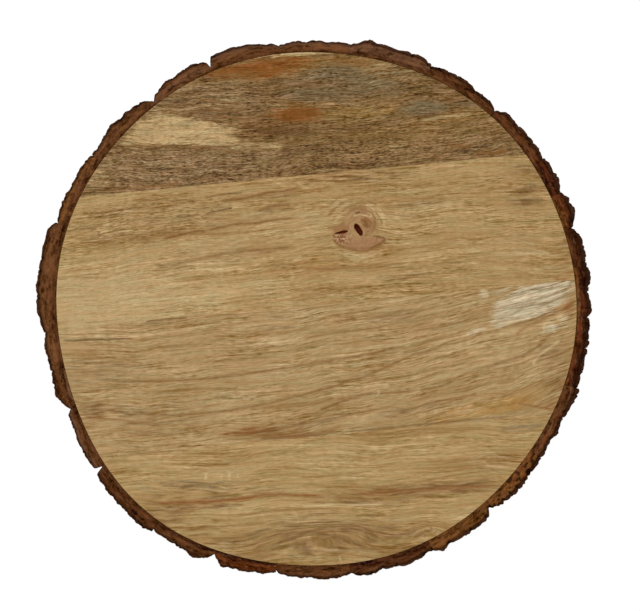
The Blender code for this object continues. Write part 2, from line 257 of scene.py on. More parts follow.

# Thin lines through given points, by kind: half width, strength, points.
STROKES = {
    "dark": (
        (3.2, 0.4, (-44, 130), (-33, 129), (-18, 129), (-2, 127)),
        (2.6, 0.35, (7, 122), (26, 123), (46, 124), (66, 126)),
        (2.4, 0.25, (-25, 114), (-11, 115), (7, 115)),
        (4.2, 0.22, (-24, 140), (-10, 142), (4, 141)),
        (0.5, 0.6, (-50, 140), (-43, 142), (-39, 144), (-36, 148), (-37, 153)),
        (0.5, 0.5, (-55, 138), (-44, 139), (-37, 142), (-33, 148)),
        (0.5, 0.65, (-26, 126), (27, 128), (46, 129)),
        (0.5, 0.5, (45, 132), (75, 134), (95, 134), (129, 136)),
        (0.5, 0.45, (-128, 101), (-106, 102), (-80, 101)),
        (0.5, 0.45, (-98, 95), (-74, 96), (-47, 97)),
        (0.5, 0.5, (-36, 108), (-11, 110), (11, 108)),
        (0.5, 0.5, (-18, 99), (11, 103), (42, 105)),
        (0.5, 0.55, (-184.3, 43.5), (-180.2, 42.4), (-174.4, 42)),
        (0.5, 0.5, (147, 104), (154, 104), (161, 103)),
        (0.5, 0.45, (97, 92), (104, 91)),
        (0.6, 0.72, (-170, 69), (-163, 69), (-139, 72), (-129, 74)),
        (0.55, 0.46, (-169, 66), (-160, 66), (-145, 66)),
        (0.55, 0.51, (-176, 58), (-167, 58), (-159, 58)),
        (0.55, 0.51, (-156.9, 81.8), (-151, 81.8), (-145.2, 82.6)),
        (0.6, 0.66, (-107, 78), (-94, 79), (-88, 78)),
        (0.6, 0.71, (-81, 80), (-68, 83), (-52, 84)),
        (0.55, 0.46, (-69, 78), (-60, 80), (-53, 80)),
        (0.6, 0.66, (-80, 69), (-66, 72), (-60, 73)),
        (0.6, 0.66, (-103, 66), (-88, 68), (-85, 69)),
        (2.2, 0.4, (145, 83), (153, 86), (162, 90)),
        (2.4, 0.4, (150, 76), (159, 78), (167, 78)),
        (0.5, 0.75, (-124, -10), (-109, -8), (-92, -7)),
        (0.5, 0.8, (-185, -24), (-158, -23), (-130, -22)),
        (0.5, 0.5, (4, -74), (11, -72), (18, -69)),
        (0.5, 0.6, (-40, -96), (-14, -94), (11, -92)),
        (0.6, 0.5, (17, -91), (87, -84), (144, -79)),
        (0.5, 0.6, (29, -152), (40, -151), (52, -151)),
        (0.8, 1, (29.9, 68.2), (31.1, 69.4), (33.3, 69.5)),
        (1, 0.8, (36.2, 61.2), (37.4, 60)),
        (0.35, 0.6, (44.2, 69.8), (46.8, 66.9), (48.6, 63.6), (48.8, 61)),
        (0.7, 0.6, (44.2, 52), (48.4, 51.8), (51, 50.4), (49.6, 47.8)),
    ),
    "red": (
        (2.6, 0.4, (11, 181), (26, 180), (42, 177)),
        (0.9, 0.45, (-39, 26), (-11, 29), (18, 29), (42, 33)),
        (1.3, 0.45, (147, -20), (154, -14), (190, 4)),
        (0.8, 0.6, (-169, -79), (-150, -81), (-130, -83)),
        (0.6, 0.6, (102, -67), (111, -65), (118, -62)),
        (0.8, 0.7, (147, -69), (162, -72), (173, -74)),
        (1.2, 0.85, (-128, -143), (-61, -140), (-33, -136), (11, -138)),
        (1.7, 0.5, (11, -138), (37, -136), (56, -134), (137, -129)),
        (0.6, 0.9, (13.2, 51.9), (14.7, 54.5), (17.2, 55.9)),
        (0.5, 0.8, (33.3, 70), (35.8, 69.4), (38, 69)),
        (1.2, 0.55, (8.8, 58.1), (13.2, 58.8), (18.3, 60.3), (22, 63.6)),
        (2, 0.5, (13.4, 56.6), (21.8, 58.2), (25.2, 58.4)),
        (1.2, 0.6, (26.6, 53.2), (30.5, 51.6), (38.6, 53.6)),
        (0.9, 0.6, (35.6, 66), (39.4, 64.6), (41.6, 61.2)),
    ),
    "brown": (
        (0.8, 0.7, (-80, 145), (-60, 144), (-50, 145)),
        (0.8, 0.7, (-74, 141), (-62, 139), (-46, 137)),
        (1, 0.6, (-87, 153), (-72, 151), (-55, 149)),
        (1, 0.7, (-78, 172), (-54, 168), (-39, 166)),
        (0.7, 0.6, (-142, 118), (-91, 118), (-74, 116), (-55, 113)),
        (1.4, 0.8, (95, 120), (104, 118), (115, 118)),
        (1.2, 0.6, (115, 114), (128, 113), (141, 114)),
        (0.8, 0.6, (-160, 86), (-128, 88), (-98, 91)),
        (1.3, 0.6, (-121, 28), (-60, 41), (-47, 42), (-12, 45)),
        (0.5, 0.5, (-176, 23), (-163, 22), (-150, 22)),
        (0.9, 0.5, (-55, 29), (4, 34), (27, 36)),
        (1, 0.8, (-72, 78), (-52, 80), (-36, 84), (-26, 85), (-9, 88)),
        (0.6, 0.5, (-123, 70), (-116, 72), (-109, 72)),
        (0.7, 0.5, (-145, 63), (-136, 63), (-128, 65), (-110, 66)),
        (1, 1, (-113, 50), (-87, 56), (-80, 56)),
        (0.9, 0.9, (-82, 56), (-59, 61), (-42, 62), (-33, 64), (-12, 66)),
        (0.6, 0.6, (-129, 53), (-104, 58), (-94, 58)),
        (0.9, 0.9, (-42, 71), (-33, 74), (-17, 76)),
        (0.6, 0.45, (-60, 64), (-50, 64), (-40, 66)),
        (0.8, 0.5, (-172, 48), (-157, 48), (-144, 48)),
        (0.7, 0.8, (131, -17), (138, -14), (157, -9), (180, 1)),
        (0.6, 0.6, (160, -28), (178, -14), (184, -12)),
        (0.6, 0.5, (55, 81), (77, 80), (99, 80)),
        (0.6, 0.5, (50, 69), (71, 67), (91, 68)),
        (0.6, 0.45, (62, 28), (107, 34), (135, 34)),
        (0.5, 0.5, (-180, -40), (-163, -37), (-144, -36)),
        (1, 0.7, (-152, -54), (-74, -51), (37, -34), (52, -30), (67, -28)),
        (0.8, 0.6, (-119, -62), (-82, -59), (-65, -59), (-55, -58)),
        (0.9, 0.7, (-138, -74), (-123, -77), (-110, -78), (-96, -78), (-46, -72), (11, -58), (24, -53),
         (37, -50), (67, -36), (84, -31), (100, -24), (126, -19)),
        (1, 0.75, (3, -75), (17, -69), (37, -63), (56, -62), (75, -60)),
        (1, 0.7, (75, -60), (92, -57), (112, -47), (155, -33), (175, -16)),
        (0.5, 0.5, (133, -55), (140, -54), (147, -52)),
        (0.7, 0.55, (83, -16), (100, -12), (120, -7)),
        (0.7, 0.55, (-11, -23), (15, -18), (42, -15), (64, -9)),
        (0.7, 0.5, (-62, -32), (-36, -28), (-11, -26)),
        (0.8, 0.6, (-39, -90), (-11, -85), (64, -70)),
        (0.7, 0.55, (42, -77), (65, -74), (91, -68), (110, -66)),
        (0.9, 0.7, (-42, -95), (-14, -93), (18, -89)),
        (0.5, 0.6, (-152, -109), (-124, -106), (-91, -103)),
        (0.6, 0.5, (-11, -124), (12, -122), (37, -120)),
        (0.6, 0.6, (78, -126), (115, -120), (135, -118)),
        (0.6, 0.6, (-60, -152), (-26, -148), (11, -146)),
        (0.6, 0.5, (-105, -160), (-77, -160), (-34, -156)),
        (0.9, 0.45, (-2, -165), (1, -163), (7, -162), (13, -163), (15, -166), (12, -168), (5, -169),
         (-1, -168), (-2, -165)),
        (0.6, 0.6, (79.6, -161.3), (82.6, -163.4), (85.5, -161.6), (84, -159.4)),
        (0.6, 0.5, (76.7, -162.7), (81.1, -166), (86.9, -164.5), (89.9, -161.3)),
        (0.8, 0.7, (12.8, 51.5), (14.7, 48.3), (18.3, 45.6), (25.3, 42.9), (34.4, 41.8), (42.8, 43.4),
         (49, 47), (52.2, 50.6)),
        (0.55, 0.8, (41.7, 52.6), (46.1, 52.2), (50.4, 51)),
        (0.5, 0.8, (36.2, 63.2), (38.4, 63.9), (40.6, 62.5), (41, 59.9), (38.8, 58.1)),
        (0.5, 0.7, (41, 54.8), (43.5, 57.7), (44.2, 61.8), (43.1, 65.8)),
        (0.5, 0.6, (37.3, 78.5), (43.1, 76.4), (48.3, 72.7), (51.5, 68.3)),
        (0.5, 0.55, (11.8, 62.5), (16.1, 67.2), (20.5, 71.2), (25.6, 74.2), (31.5, 75.4)),
        (0.5, 0.5, (8.8, 66.1), (13.2, 71.2), (18.3, 75.6), (24.2, 78.7), (30.7, 80)),
        (0.5, 0.5, (9.6, 73.8), (14.7, 78.5), (20.5, 81.8), (28.5, 84)),
        (1.2, 0.6, (13.2, 49.8), (17.4, 46.4), (24, 43.9), (32.4, 42.7)),
        (0.9, 0.7, (32.4, 42.7), (40.6, 43.9), (47, 46.9), (51.2, 50.2)),
        (2, 0.35, (36, 55.4), (40.2, 56.4), (43.2, 60), (43.4, 65)),
        (1.6, 0.35, (24.8, 71), (31, 73.6), (38.4, 72.4)),
        (2.4, 0.8, (35, 62.5), (37.4, 61), (39, 58.6)),
        (2, 0.65, (33, 64.2), (37.6, 63), (39.6, 59)),
    ),
    "grey": (
        (0.9, 0.7, (43, 166), (58, 164), (68, 164)),
        (1.2, 0.8, (69, 150), (80, 149), (90, 147), (99, 147)),
        (1, 0.7, (72, 144), (84, 144), (94, 145)),
        (0.5, 0.7, (156, 13), (177, 15), (188, 17)),
        (0.5, 0.75, (158, 6), (165, 7), (187, 14)),
        (0.55, 0.85, (147, -1), (158, 2), (168, 3), (178, 7), (183, 10), (189, 12)),
        (0.45, 0.7, (136, -1), (148, 2), (159, 6)),
        (0.5, 0.6, (132, -9), (145, -4), (154, 0)),
        (0.45, 0.5, (142, 8), (150, 11), (156, 13)),
        (0.9, 0.6, (134, -89), (158, -86), (169, -84)),
    ),
    "pale": (
        (0.8, 0.6, (78, 137), (98, 140), (115, 142)),
        (0.7, 0.8, (120.5, 13.2), (123.4, 12.5), (126.4, 12.5)),
        (0.6, 0.8, (121.3, 10.3), (124.2, 10.3), (127.1, 8.8)),
        (0.5, 0.7, (122, 8.1), (126.4, 7.4)),
        (0.8, 0.75, (167.2, -16.7), (167.2, -13.1), (169.4, -10.1), (172.4, -10.1)),
        (0.8, 0.8, (173.1, -13.1), (173.8, -15.3), (175.3, -18.2)),
        (0.7, 0.7, (176.7, -8.7), (179.7, -7.2), (182.6, -8)),
        (0.9, 0.5, (132.2, -2.1), (129.3, -2.1), (127.1, -3.6)),
        (0.9, 0.55, (137.3, -12.3), (142.4, -10.9), (146.8, -8.7)),
        (0.9, 0.7, (160, -42), (162, -36), (180, -23)),
        (0.4, 0.8, (44.6, -64.2), (46.8, -62), (46.1, -60.2)),
        (0.7, 0.85, (-11, -145), (18, -144), (52, -143)),
        (0.6, 0.7, (17.6, -181), (19.1, -184.6)),
        (0.8, 0.8, (-79.5, -120), (-79.5, -122.6), (-80.2, -125.5)),
        (0.8, 0.8, (-62, -119.6), (-62.7, -122.6), (-62, -125.5)),
        (0.5, 0.6, (-67.8, -121.1), (-68.5, -124.8)),
        (0.5, 0.6, (-56.1, -120.4), (-56.5, -124)),
        (0.6, 0.5, (62, -104), (91, -103), (113, -101)),
        (0.8, 0.35, (28.2, 66.9), (31.5, 68.2), (35.8, 68.3), (39.9, 67.8), (42.4, 65.8)),
        (0.7, 0.45, (45.7, 70.9), (48.6, 67.6), (50.4, 63.6), (50.3, 60.3)),
        (0.8, 0.4, (37.3, 76.4), (42.4, 74.5), (46.4, 72)),
        (1, 0.35, (11, 65), (14.7, 69.4), (19.1, 73.4), (24.2, 76.4), (30.7, 77.8)),
        (1, 0.3, (8.1, 68.7), (12.5, 73.8), (17.6, 77.8), (23.4, 80.7)),
        (0.9, 0.3, (22.6, 60.5), (24.4, 65.8), (28, 70.4)),
        (1.6, 0.5, (13.6, 61.5), (16.6, 66.2), (19.8, 70.2)),
        (1.7, 0.5, (44.6, 75.4), (48.4, 70.4), (49.2, 64)),
        (0.6, 0.7, (37, 75.4), (41, 73.6), (43.6, 71.2)),
        (0.8, 0.6, (27.8, 67.2), (33.6, 68.4), (41, 66.4)),
        (1.8, 0.25, (25, 53.6), (30.4, 51.6), (37, 53.2)),
    ),
}

STAIN_COLOURS = {
    "orange": (134, 80, 24),
    "ochre": (172, 133, 76),
    "olive": (138, 106, 56),
    "grey": (119, 99, 69),
    "brown": (120, 86, 46),
    "purple": (140, 110, 76),
    "pale": (190, 162, 116),
    # Painted sheen: the silvery shine of the wood, as a pale grey colour.
    "silver_sheen": (203, 187, 156),
}
STAIN_GROUPS = (("orange", "ochre", "olive"), ("grey", "brown", "purple"), ("pale", "silver_sheen", "pores"))
LINE_COLOURS = {
    "dark": (84, 54, 16),
    "brown": (126, 85, 42),
    "red": (136, 84, 42),
    "pale": (206, 180, 132),
    "grey": (124, 106, 76),
    "pit": (118, 42, 12),
}
LINE_GROUPS = (("dark", "brown", "red"), ("pale", "grey", "pit"))


class Timber(NamedTuple):
    """The wood of one plank: tones, dark lines, pores, strength of grain, its calm spots, its dashes."""

    dark: tuple
    middle: tuple
    pale: tuple
    line: tuple
    lines: float
    pore: tuple
    pores: float
    contrast: float
    veil: float
    streaks: float
    calm: float
    dash: tuple


TIMBERS = (
    Timber(
        dark=(102, 73, 38), middle=(132, 102, 61), pale=(164, 134, 92), line=(80, 54, 26), lines=0.3,
        pore=(74, 50, 25), pores=0.5, contrast=1.7, veil=0.08, streaks=0.4, calm=0.15, dash=(3.0, 0.44),
    ),
    Timber(
        dark=(152, 116, 68), middle=(175, 144, 96), pale=(191, 163, 116), line=(122, 86, 44),
        lines=0.35, pore=(112, 80, 42), pores=0.45, contrast=0.74, veil=0.17, streaks=0.5, calm=0.45,
        dash=(4.4, 0.48),
    ),
    Timber(
        dark=(152, 116, 69), middle=(172, 142, 97), pale=(188, 160, 115), line=(122, 86, 44),
        lines=0.35, pore=(112, 80, 42), pores=0.35, contrast=0.66, veil=0.17, streaks=0.9, calm=0.4,
        dash=(5.0, 0.6),
    ),
    Timber(
        dark=(148, 112, 64), middle=(175, 144, 95), pale=(188, 160, 112), line=(122, 86, 44), lines=0.3,
        pore=(112, 80, 42), pores=0.25, contrast=0.54, veil=0.17, streaks=0.9, calm=0.4,
        dash=(5.0, 0.62),
    ),
)


def to_linear(colour):
    """Turns an sRGB colour, 0 to 255, into the linear colour that a shader takes."""
    shares = [level / 255 for level in colour]
    return (*(v / 12.92 if v <= 0.04045 else ((v + 0.055) / 1.055) ** 2.4 for v in shares), 1.0)


def vertices_of(node):
    """The vertices of a CAD node, in millimetres."""
    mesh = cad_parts[node].data
    points = np.zeros(len(mesh.vertices) * 3, np.float32)
    mesh.vertices.foreach_get("co", points)
    return points.reshape(-1, 3).astype(float) / MM


def smooth_noise(x, y, seed):
    """Random heights from -1 to 1 on a unit lattice, joined smoothly."""
    size = 64
    table = np.random.default_rng(seed).uniform(-1, 1, (size, size))
    column, row = np.floor(x).astype(int), np.floor(y).astype(int)
    across, up = x - column, y - row
    across = across * across * (3 - 2 * across)
    up = up * up * (3 - 2 * up)
    left, right = column % size, (column + 1) % size
    low, high = row % size, (row + 1) % size
    lower = table[low, left] * (1 - across) + table[low, right] * across
    upper = table[high, left] * (1 - across) + table[high, right] * across
    return lower * (1 - up) + upper * up


def step_up(low, high, values):
    """Rises smoothly from 0 at low to 1 at high."""
    share = np.clip((values - low) / (high - low), 0, 1)
    return share * share * (3 - 2 * share)


def curve_through(points, pieces):
    """A smooth line of short straight pieces through all the points."""
    nodes = np.array([points[0], *points, points[-1]], float)
    share = np.linspace(0, 1, pieces, endpoint=False)[:, None]
    parts = []
    for before, start, end, after in zip(nodes, nodes[1:], nodes[2:], nodes[3:]):
        bend = 2 * before - 5 * start + 4 * end - after
        turn = 3 * (start - end) + after - before
        parts.append(start + 0.5 * share * (end - before + share * (bend + share * turn)))
    return np.concatenate([*parts, nodes[-1:]])


def distance_to_line(x, y, line):
    """How far each point is from a line of straight pieces, and how far along it, 0 to 1."""
    nearest = np.full(x.shape, np.inf)
    along = np.zeros(x.shape)
    count = len(line) - 1
    for number, (start, end) in enumerate(zip(line, line[1:])):
        step = end - start
        share = ((x - start[0]) * step[0] + (y - start[1]) * step[1]) / (step @ step)
        share = np.clip(share, 0, 1)
        away = np.hypot(x - start[0] - share * step[0], y - start[1] - share * step[1])
        closer = away < nearest
        nearest = np.where(closer, away, nearest)
        along = np.where(closer, (number + share) / count, along)
    return nearest, along


# The knot in the second plank: outlines of its lip, dome and wing round the crack.

KNOT_LIP = (
    (12.9, 52.6), (15.4, 55.1), (19.1, 54.8), (24.2, 55.2), (29.3, 54.1), (35.8, 51.9),
    (42.4, 52.0), (47.5, 51.9), (52.6, 51.2), (50.1, 47.5), (43.9, 43.9), (35.8, 42.0),
    (26.4, 42.8), (18.3, 45.7), (13.9, 49.0),
)
KNOT_DOME = (
    (22.0, 57.7), (21.7, 62.9), (22.7, 68.3), (25.6, 72.0), (31.5, 74.1), (38.8, 72.5),
    (43.1, 68.7), (45.3, 63.6), (45.0, 59.2), (42.4, 55.2), (37.3, 52.3), (30.0, 53.7),
    (24.2, 55.6),
)
KNOT_WING = (
    (12.5, 57.4), (16.9, 59.2), (22.0, 62.5), (24.9, 58.5), (24.2, 55.9), (18.3, 56.1),
    (13.9, 55.2),
)
KNOT = np.array([31.8, 57.4])
KNOT_CELLS = (19.0, 50.5, 6.5, 4.5)
KNOT_REACH = np.array([23.0, 19.0])
KNOT_FLOW_CENTRE = np.array([33.0, 45.0])
KNOT_FLOW_REACH = (19.0, 17.0)
CRACK_TURN = math.radians(-57.0)
CRACK_HALF_SIZES = (4.75, 2.0)
CRACK_ROUNDNESS = 2.6
CRACK_DEPTH = 5.6
SLIT = ((14.7, 54.5), (19.2, 55.3), (23.4, 56.1))
SLIT_HALF_WIDTH = 1.5
SLIT_DEPTH = 2.8


def knot_pits(x, y):
    """How deep the crack and the slit of the knot are at each point."""
    east, north = x - KNOT[0], y - KNOT[1]
    run = east * math.cos(CRACK_TURN) + north * math.sin(CRACK_TURN)
    side = -east * math.sin(CRACK_TURN) + north * math.cos(CRACK_TURN)
    ragged = 1 + 0.12 * smooth_noise(x / 1.3, y / 1.3, 5)
    half_run, half_side = CRACK_HALF_SIZES
    out = np.abs(run / half_run) ** CRACK_ROUNDNESS + np.abs(side / half_side) ** CRACK_ROUNDNESS
    out = out ** (1 / CRACK_ROUNDNESS) * ragged
    crack = CRACK_DEPTH * (1 - step_up(0.78, 1.06, out))
    away, along = distance_to_line(x, y, curve_through(SLIT, 6))
    taper = np.clip(along + 0.25, 0, 1) * np.sin(np.pi * np.clip(along, 0.04, 0.96)) ** 0.4
    slit = SLIT_DEPTH * (1 - step_up(0.3, 1.0, away / (SLIT_HALF_WIDTH * taper)))
    return np.maximum(crack, slit)


def near_line(x, y, line, reach):
    """Which points lie within reach of the box round a line."""
    low, high = line.min(axis=0) - reach, line.max(axis=0) + reach
    return np.flatnonzero((x > low[0]) & (x < high[0]) & (y > low[1]) & (y < high[1]))


def inside_shape(x, y, outline, softness):
    """1 inside a smooth closed outline, 0 outside it, with a soft edge."""
    loop = curve_through((*outline, outline[0]), 5)
    near = near_line(x, y, loop, softness)
    px, py = x[near], y[near]
    away, _ = distance_to_line(px, py, loop)
    inside = np.zeros(px.shape, bool)
    for start, end in zip(loop, loop[1:]):
        if start[1] != end[1]:
            between = (start[1] > py) != (end[1] > py)
            meets = start[0] + (end[0] - start[0]) * (py - start[1]) / (end[1] - start[1])
            inside ^= between & (px < meets)
    mask = np.zeros(x.shape)
    mask[near] = step_up(-softness, softness, np.where(inside, away, -away))
    return mask


def knot_masks(x, y):
    """The heart of the knot, the cells in its lip, and its open pits."""
    lip = inside_shape(x, y, KNOT_LIP, 1.2)
    dome = inside_shape(x, y, KNOT_DOME, 3.2)
    wing = inside_shape(x, y, KNOT_WING, 1.6)
    heart = np.maximum.reduce([lip * 0.9, dome * 0.66, wing * 0.85])
    east, north, length, width = KNOT_CELLS
    cells = lip * np.exp(-(((x - east) / length) ** 2) - ((y - north) / width) ** 2)
    return heart, cells, step_up(0.02, 0.5, knot_pits(x, y))


# Random wander of the growth lines: its share, its length along and across them, and its seed.
WANDERS = ((1.0, 46, 17, 11), (0.35, 13, 6, 12))
# How much the growth lines swing round the knot, above its middle and below it.
KNOT_FLOW_BENDS = (0.78, 0.3)


def grain_place(plank, x, y):
    """Where points lie in the grain: how far along, and on which growth line."""
    along = x * ALONG[0] + y * ALONG[1]
    across = x * ACROSS[0] + y * ACROSS[1]
    grain = GRAINS[plank]
    line = across - grain.slope * along - grain.bend * along**2
    for height, length, start in grain.waves:
        line = line - height * np.sin(2 * np.pi * along / length + start)
    for share, length, width, seed in WANDERS:
        wander = smooth_noise(along / length + 9 * plank, across / width + 5, seed)
        line = line - share * grain.wander * wander
    for bump in BUMPS:
        if bump.plank == plank:
            run = along - (bump.x * ALONG[0] + bump.y * ALONG[1])
            rise = across - (bump.x * ACROSS[0] + bump.y * ACROSS[1])
            line = line - bump.height * np.exp(-((run / bump.length) ** 2) - (rise / bump.width) ** 2)
    if plank == KNOT_PLANK:
        run = along - KNOT_FLOW_CENTRE @ ALONG
        rise = across - KNOT_FLOW_CENTRE @ ACROSS
        near = np.exp(-((run / KNOT_FLOW_REACH[0]) ** 2) - (rise / KNOT_FLOW_REACH[1]) ** 2)
        line = line - rise * np.where(rise > 0, *KNOT_FLOW_BENDS) * near
        rings = np.maximum(inside_shape(x, y, KNOT_LIP, 0.6), inside_shape(x, y, KNOT_DOME, 0.6)) > 0.5
        radius = np.hypot(x - KNOT[0], y - KNOT[1])
        along = np.where(rings, 300 + 5 * np.arctan2(y - KNOT[1], x - KNOT[0]), along)
        line = np.where(rings, 0.6 * radius + 1.5 * smooth_noise(x / 3.1, y / 3.1, 14), line)
    return along, line


# Stained areas are drawn with their length squeezed, so that their ends fade over a longer way.
AREA_SQUEEZE = np.array([0.3, 1.0])


def rows_of(table):
    """Every row of a table that is grouped by kind, each with its kind."""
    return [(kind, row) for kind, rows in table.items() for row in rows]


def patch_masks(plank, x, y):
    """How strongly each kind of stain, and the painted silver sheen, shows at each point."""
    along, line = grain_place(plank, x, y)
    across = x * ACROSS[0] + y * ACROSS[1]
    masks = {kind: np.zeros(x.shape) for group in STAIN_GROUPS for kind in group}
    low, high = across.min(), across.max()
    for kind, (middle_x, middle_y, length, width, strength) in rows_of(PATCHES):
        if low <= middle_x * ACROSS[0] + middle_y * ACROSS[1] <= high:
            middle = grain_place(plank, np.array([middle_x]), np.array([middle_y]))
            out = np.hypot((along - middle[0]) / length, (line - middle[1]) / width)
            masks[kind] = np.maximum(masks[kind], strength * np.exp(-(out**3) * 0.9))
    for kind, (softness, strength, outline) in rows_of(AREAS):
        if low <= np.mean(outline, axis=0) @ ACROSS <= high:
            squeezed = np.array(outline) * AREA_SQUEEZE
            shade = strength * inside_shape(x * AREA_SQUEEZE[0], y, squeezed, softness)
            masks[kind] = np.maximum(masks[kind], shade)
    return masks


def line_masks(x, y):
    """How strongly each kind of thin line shows at each point."""
    masks = {kind: np.zeros(x.shape) for group in LINE_GROUPS for kind in group}
    for kind, (half_width, strength, *points) in rows_of(STROKES):
        line = curve_through(points, 6)
        near = near_line(x, y, line, 3 * half_width)
        away, along = distance_to_line(x[near], y[near], line)
        ends = step_up(0, 0.12, along) * step_up(0, 0.12, 1 - along)
        shade = strength * ends * np.exp(-((away / half_width) ** 2))
        masks[kind][near] = np.maximum(masks[kind][near], shade)
    return masks


def resample(points, step):
    """Adds points to a closed outline so that none of its pieces is longer than the step."""
    parts = []
    for start, end in zip(points, np.roll(points, -1, axis=0)):
        count = max(1, math.ceil(np.linalg.norm(end - start) / step))
        parts.append(start + (end - start) * np.linspace(0, 1, count, endpoint=False)[:, None])
    return np.concatenate(parts)


def plank_outline(node):
    """The outline of a CAD plank from above, counter-clockwise, its seams drawn closer together."""
    points = vertices_of(node)
    foot = np.unique(np.round(points[points[:, 2] < 0.01][:, :2], 3), axis=0)
    centre = (foot.min(axis=0) + foot.max(axis=0)) / 2
    order = np.argsort(np.arctan2(foot[:, 1] - centre[1], foot[:, 0] - centre[0]))
    foot = foot[order]
    across = foot @ ACROSS
    for seam in SEAM_PLACES:
        beside = np.abs(across - seam) < 1.0
        foot[beside] += np.outer(np.sign(seam - across[beside]), ACROSS) * SEAM_CLOSING
    return resample(foot, RIM_STEP)


def reach_of(points):
    """How far each point is from the board's axis."""
    return np.hypot(points[:, 0], points[:, 1])


def rim_distance(points, outline):
    """How far each point is inside the round rim."""
    rim = outline[reach_of(outline) > RIM_REACH]
    angles = np.arctan2(rim[:, 1], rim[:, 0])
    order = np.argsort(angles)
    toward = np.arctan2(points[:, 1], points[:, 0])
    radius = np.interp(toward, angles[order], reach_of(rim)[order], period=2 * np.pi)
    return radius - reach_of(points)


def seam_distance(points, low, high):
    """How far each point is inside the two straight seams."""
    across = points[:, 0] * ACROSS[0] + points[:, 1] * ACROSS[1]
    return np.minimum(across - low, high - across)


def lattice(low, high, step_along, step_across):
    """Staggered points over a strip along the seams."""
    rows = np.arange(low, high, step_across)
    columns = np.arange(-LATTICE_REACH, LATTICE_REACH, step_along)
    along, across = np.meshgrid(columns, rows)
    along = along + (np.arange(len(rows)) % 2)[:, None] * step_along / 2
    return np.outer(along.ravel(), ALONG) + np.outer(across.ravel(), ACROSS)


def triangulate(outline, inner):
    """Joins an outline and the points inside it by triangles: returns points, faces, outline order."""
    points = [Vector(point) for point in np.concatenate([outline, inner]).tolist()]
    count = len(outline)
    edges = [(number, (number + 1) % count) for number in range(count)]
    found, _, faces, origins, _, _ = delaunay_2d_cdt(points, edges, [], 1, 1e-5)
    place = {}
    for number, sources in enumerate(origins):
        for source in sources:
            place[source] = number
    loop = [place[number] for number in range(count)]
    return np.array([tuple(point) for point in found]), [tuple(face) for face in faces], loop


def add_attribute(mesh, name, first, second, third):
    """Stores three values at every vertex."""
    attribute = mesh.attributes.new(name, "FLOAT_VECTOR", "POINT")
    values = np.stack([np.ravel(first), np.ravel(second), np.ravel(third)], axis=1)
    attribute.data.foreach_set("vector", values.astype(np.float32).ravel())


def add_object(name, data):
    """Adds an object with this data to the scene."""
    made = bpy.data.objects.new(name, data)
    bpy.context.scene.collection.objects.link(made)
    return made


def add_piece(name, points, faces, material, node):
    """Makes a mesh object of points in millimetres, in place of a CAD node."""
    mesh = bpy.data.meshes.new(name)
    mesh.from_pydata((points * MM).tolist(), [], faces)
    mesh.validate()
    mesh.shade_smooth()
    mesh.materials.append(material)
    piece = add_object(name, mesh)
    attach(piece, "root")
    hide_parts(node)
    return piece


def knot_points():
    """Closely set points round the knot."""
    columns = np.arange(-KNOT_REACH[0], KNOT_REACH[0], KNOT_STEP)
    rows = np.arange(-KNOT_REACH[1], KNOT_REACH[1], KNOT_STEP)
    east, north = np.meshgrid(columns, rows)
    return np.stack([east.ravel(), north.ravel()], axis=1) + KNOT


def plank_top_points(plank, outline, low, high):
    """The points inside the outline of a plank's top: the eased edge, the knot, an even lattice."""
    rim_clearance, seam_clearance = TOP_CLEARANCE
    rim = outline[reach_of(outline) > RIM_REACH]
    parts = [rim * (1 - step / reach_of(rim)[:, None]) for step in EASED_STEPS]
    even = lattice(low, high, TOP_STEP_ALONG, TOP_STEP_ACROSS)
    even = even[rim_distance(even, outline) > rim_clearance]
    if plank == KNOT_PLANK:
        out = np.abs(even - KNOT) / KNOT_REACH
        even = even[out.max(axis=1) > 1]
        parts.append(knot_points())
    inner = np.concatenate([*parts, even])
    return inner[seam_distance(inner, low, high) > seam_clearance]


def underside_points(outline, low, high):
    """The points inside the outline of a plank's underside."""
    rim_clearance, seam_clearance = UNDERSIDE_CLEARANCE
    even = lattice(low, high, UNDERSIDE_STEP, UNDERSIDE_STEP)
    even = even[rim_distance(even, outline) > rim_clearance]
    return even[seam_distance(even, low, high) > seam_clearance]


def plank_body(plank, outline):
    """The points and faces of a plank: a fine top with eased rim, upright walls, a plain underside."""
    across = outline @ ACROSS
    straight = reach_of(outline) < RIM_REACH
    low = across[straight & (across < across.mean())].min() if plank < FRONT_PLANK else across.min()
    high = across[straight & (across > across.mean())].max() if plank > BACK_PLANK else across.max()
    top, top_faces, above = triangulate(outline, plank_top_points(plank, outline, low, high))
    ease = np.clip(EASED_EDGE - rim_distance(top, outline), 0, EASED_EDGE)
    height = THICKNESS - EASED_EDGE + np.sqrt(EASED_EDGE**2 - ease**2)
    if plank == KNOT_PLANK:
        height = height - knot_pits(top[:, 0], top[:, 1])
    under, under_faces, under_loop = triangulate(outline, underside_points(outline, low, high))

    points = [np.column_stack([top, height])]
    faces = list(top_faces)
    count = len(top)
    for wall_height in WALL_HEIGHTS:
        points.append(np.column_stack([outline, np.full(len(outline), wall_height)]))
        below = list(range(count, count + len(outline)))
        faces += wall_faces(above, below)
        above = below
        count += len(outline)
    points.append(np.column_stack([under, np.zeros(len(under))]))
    faces += wall_faces(above, [number + count for number in under_loop])
    faces += [tuple(number + count for number in reversed(face)) for face in under_faces]
    return np.concatenate(points), faces


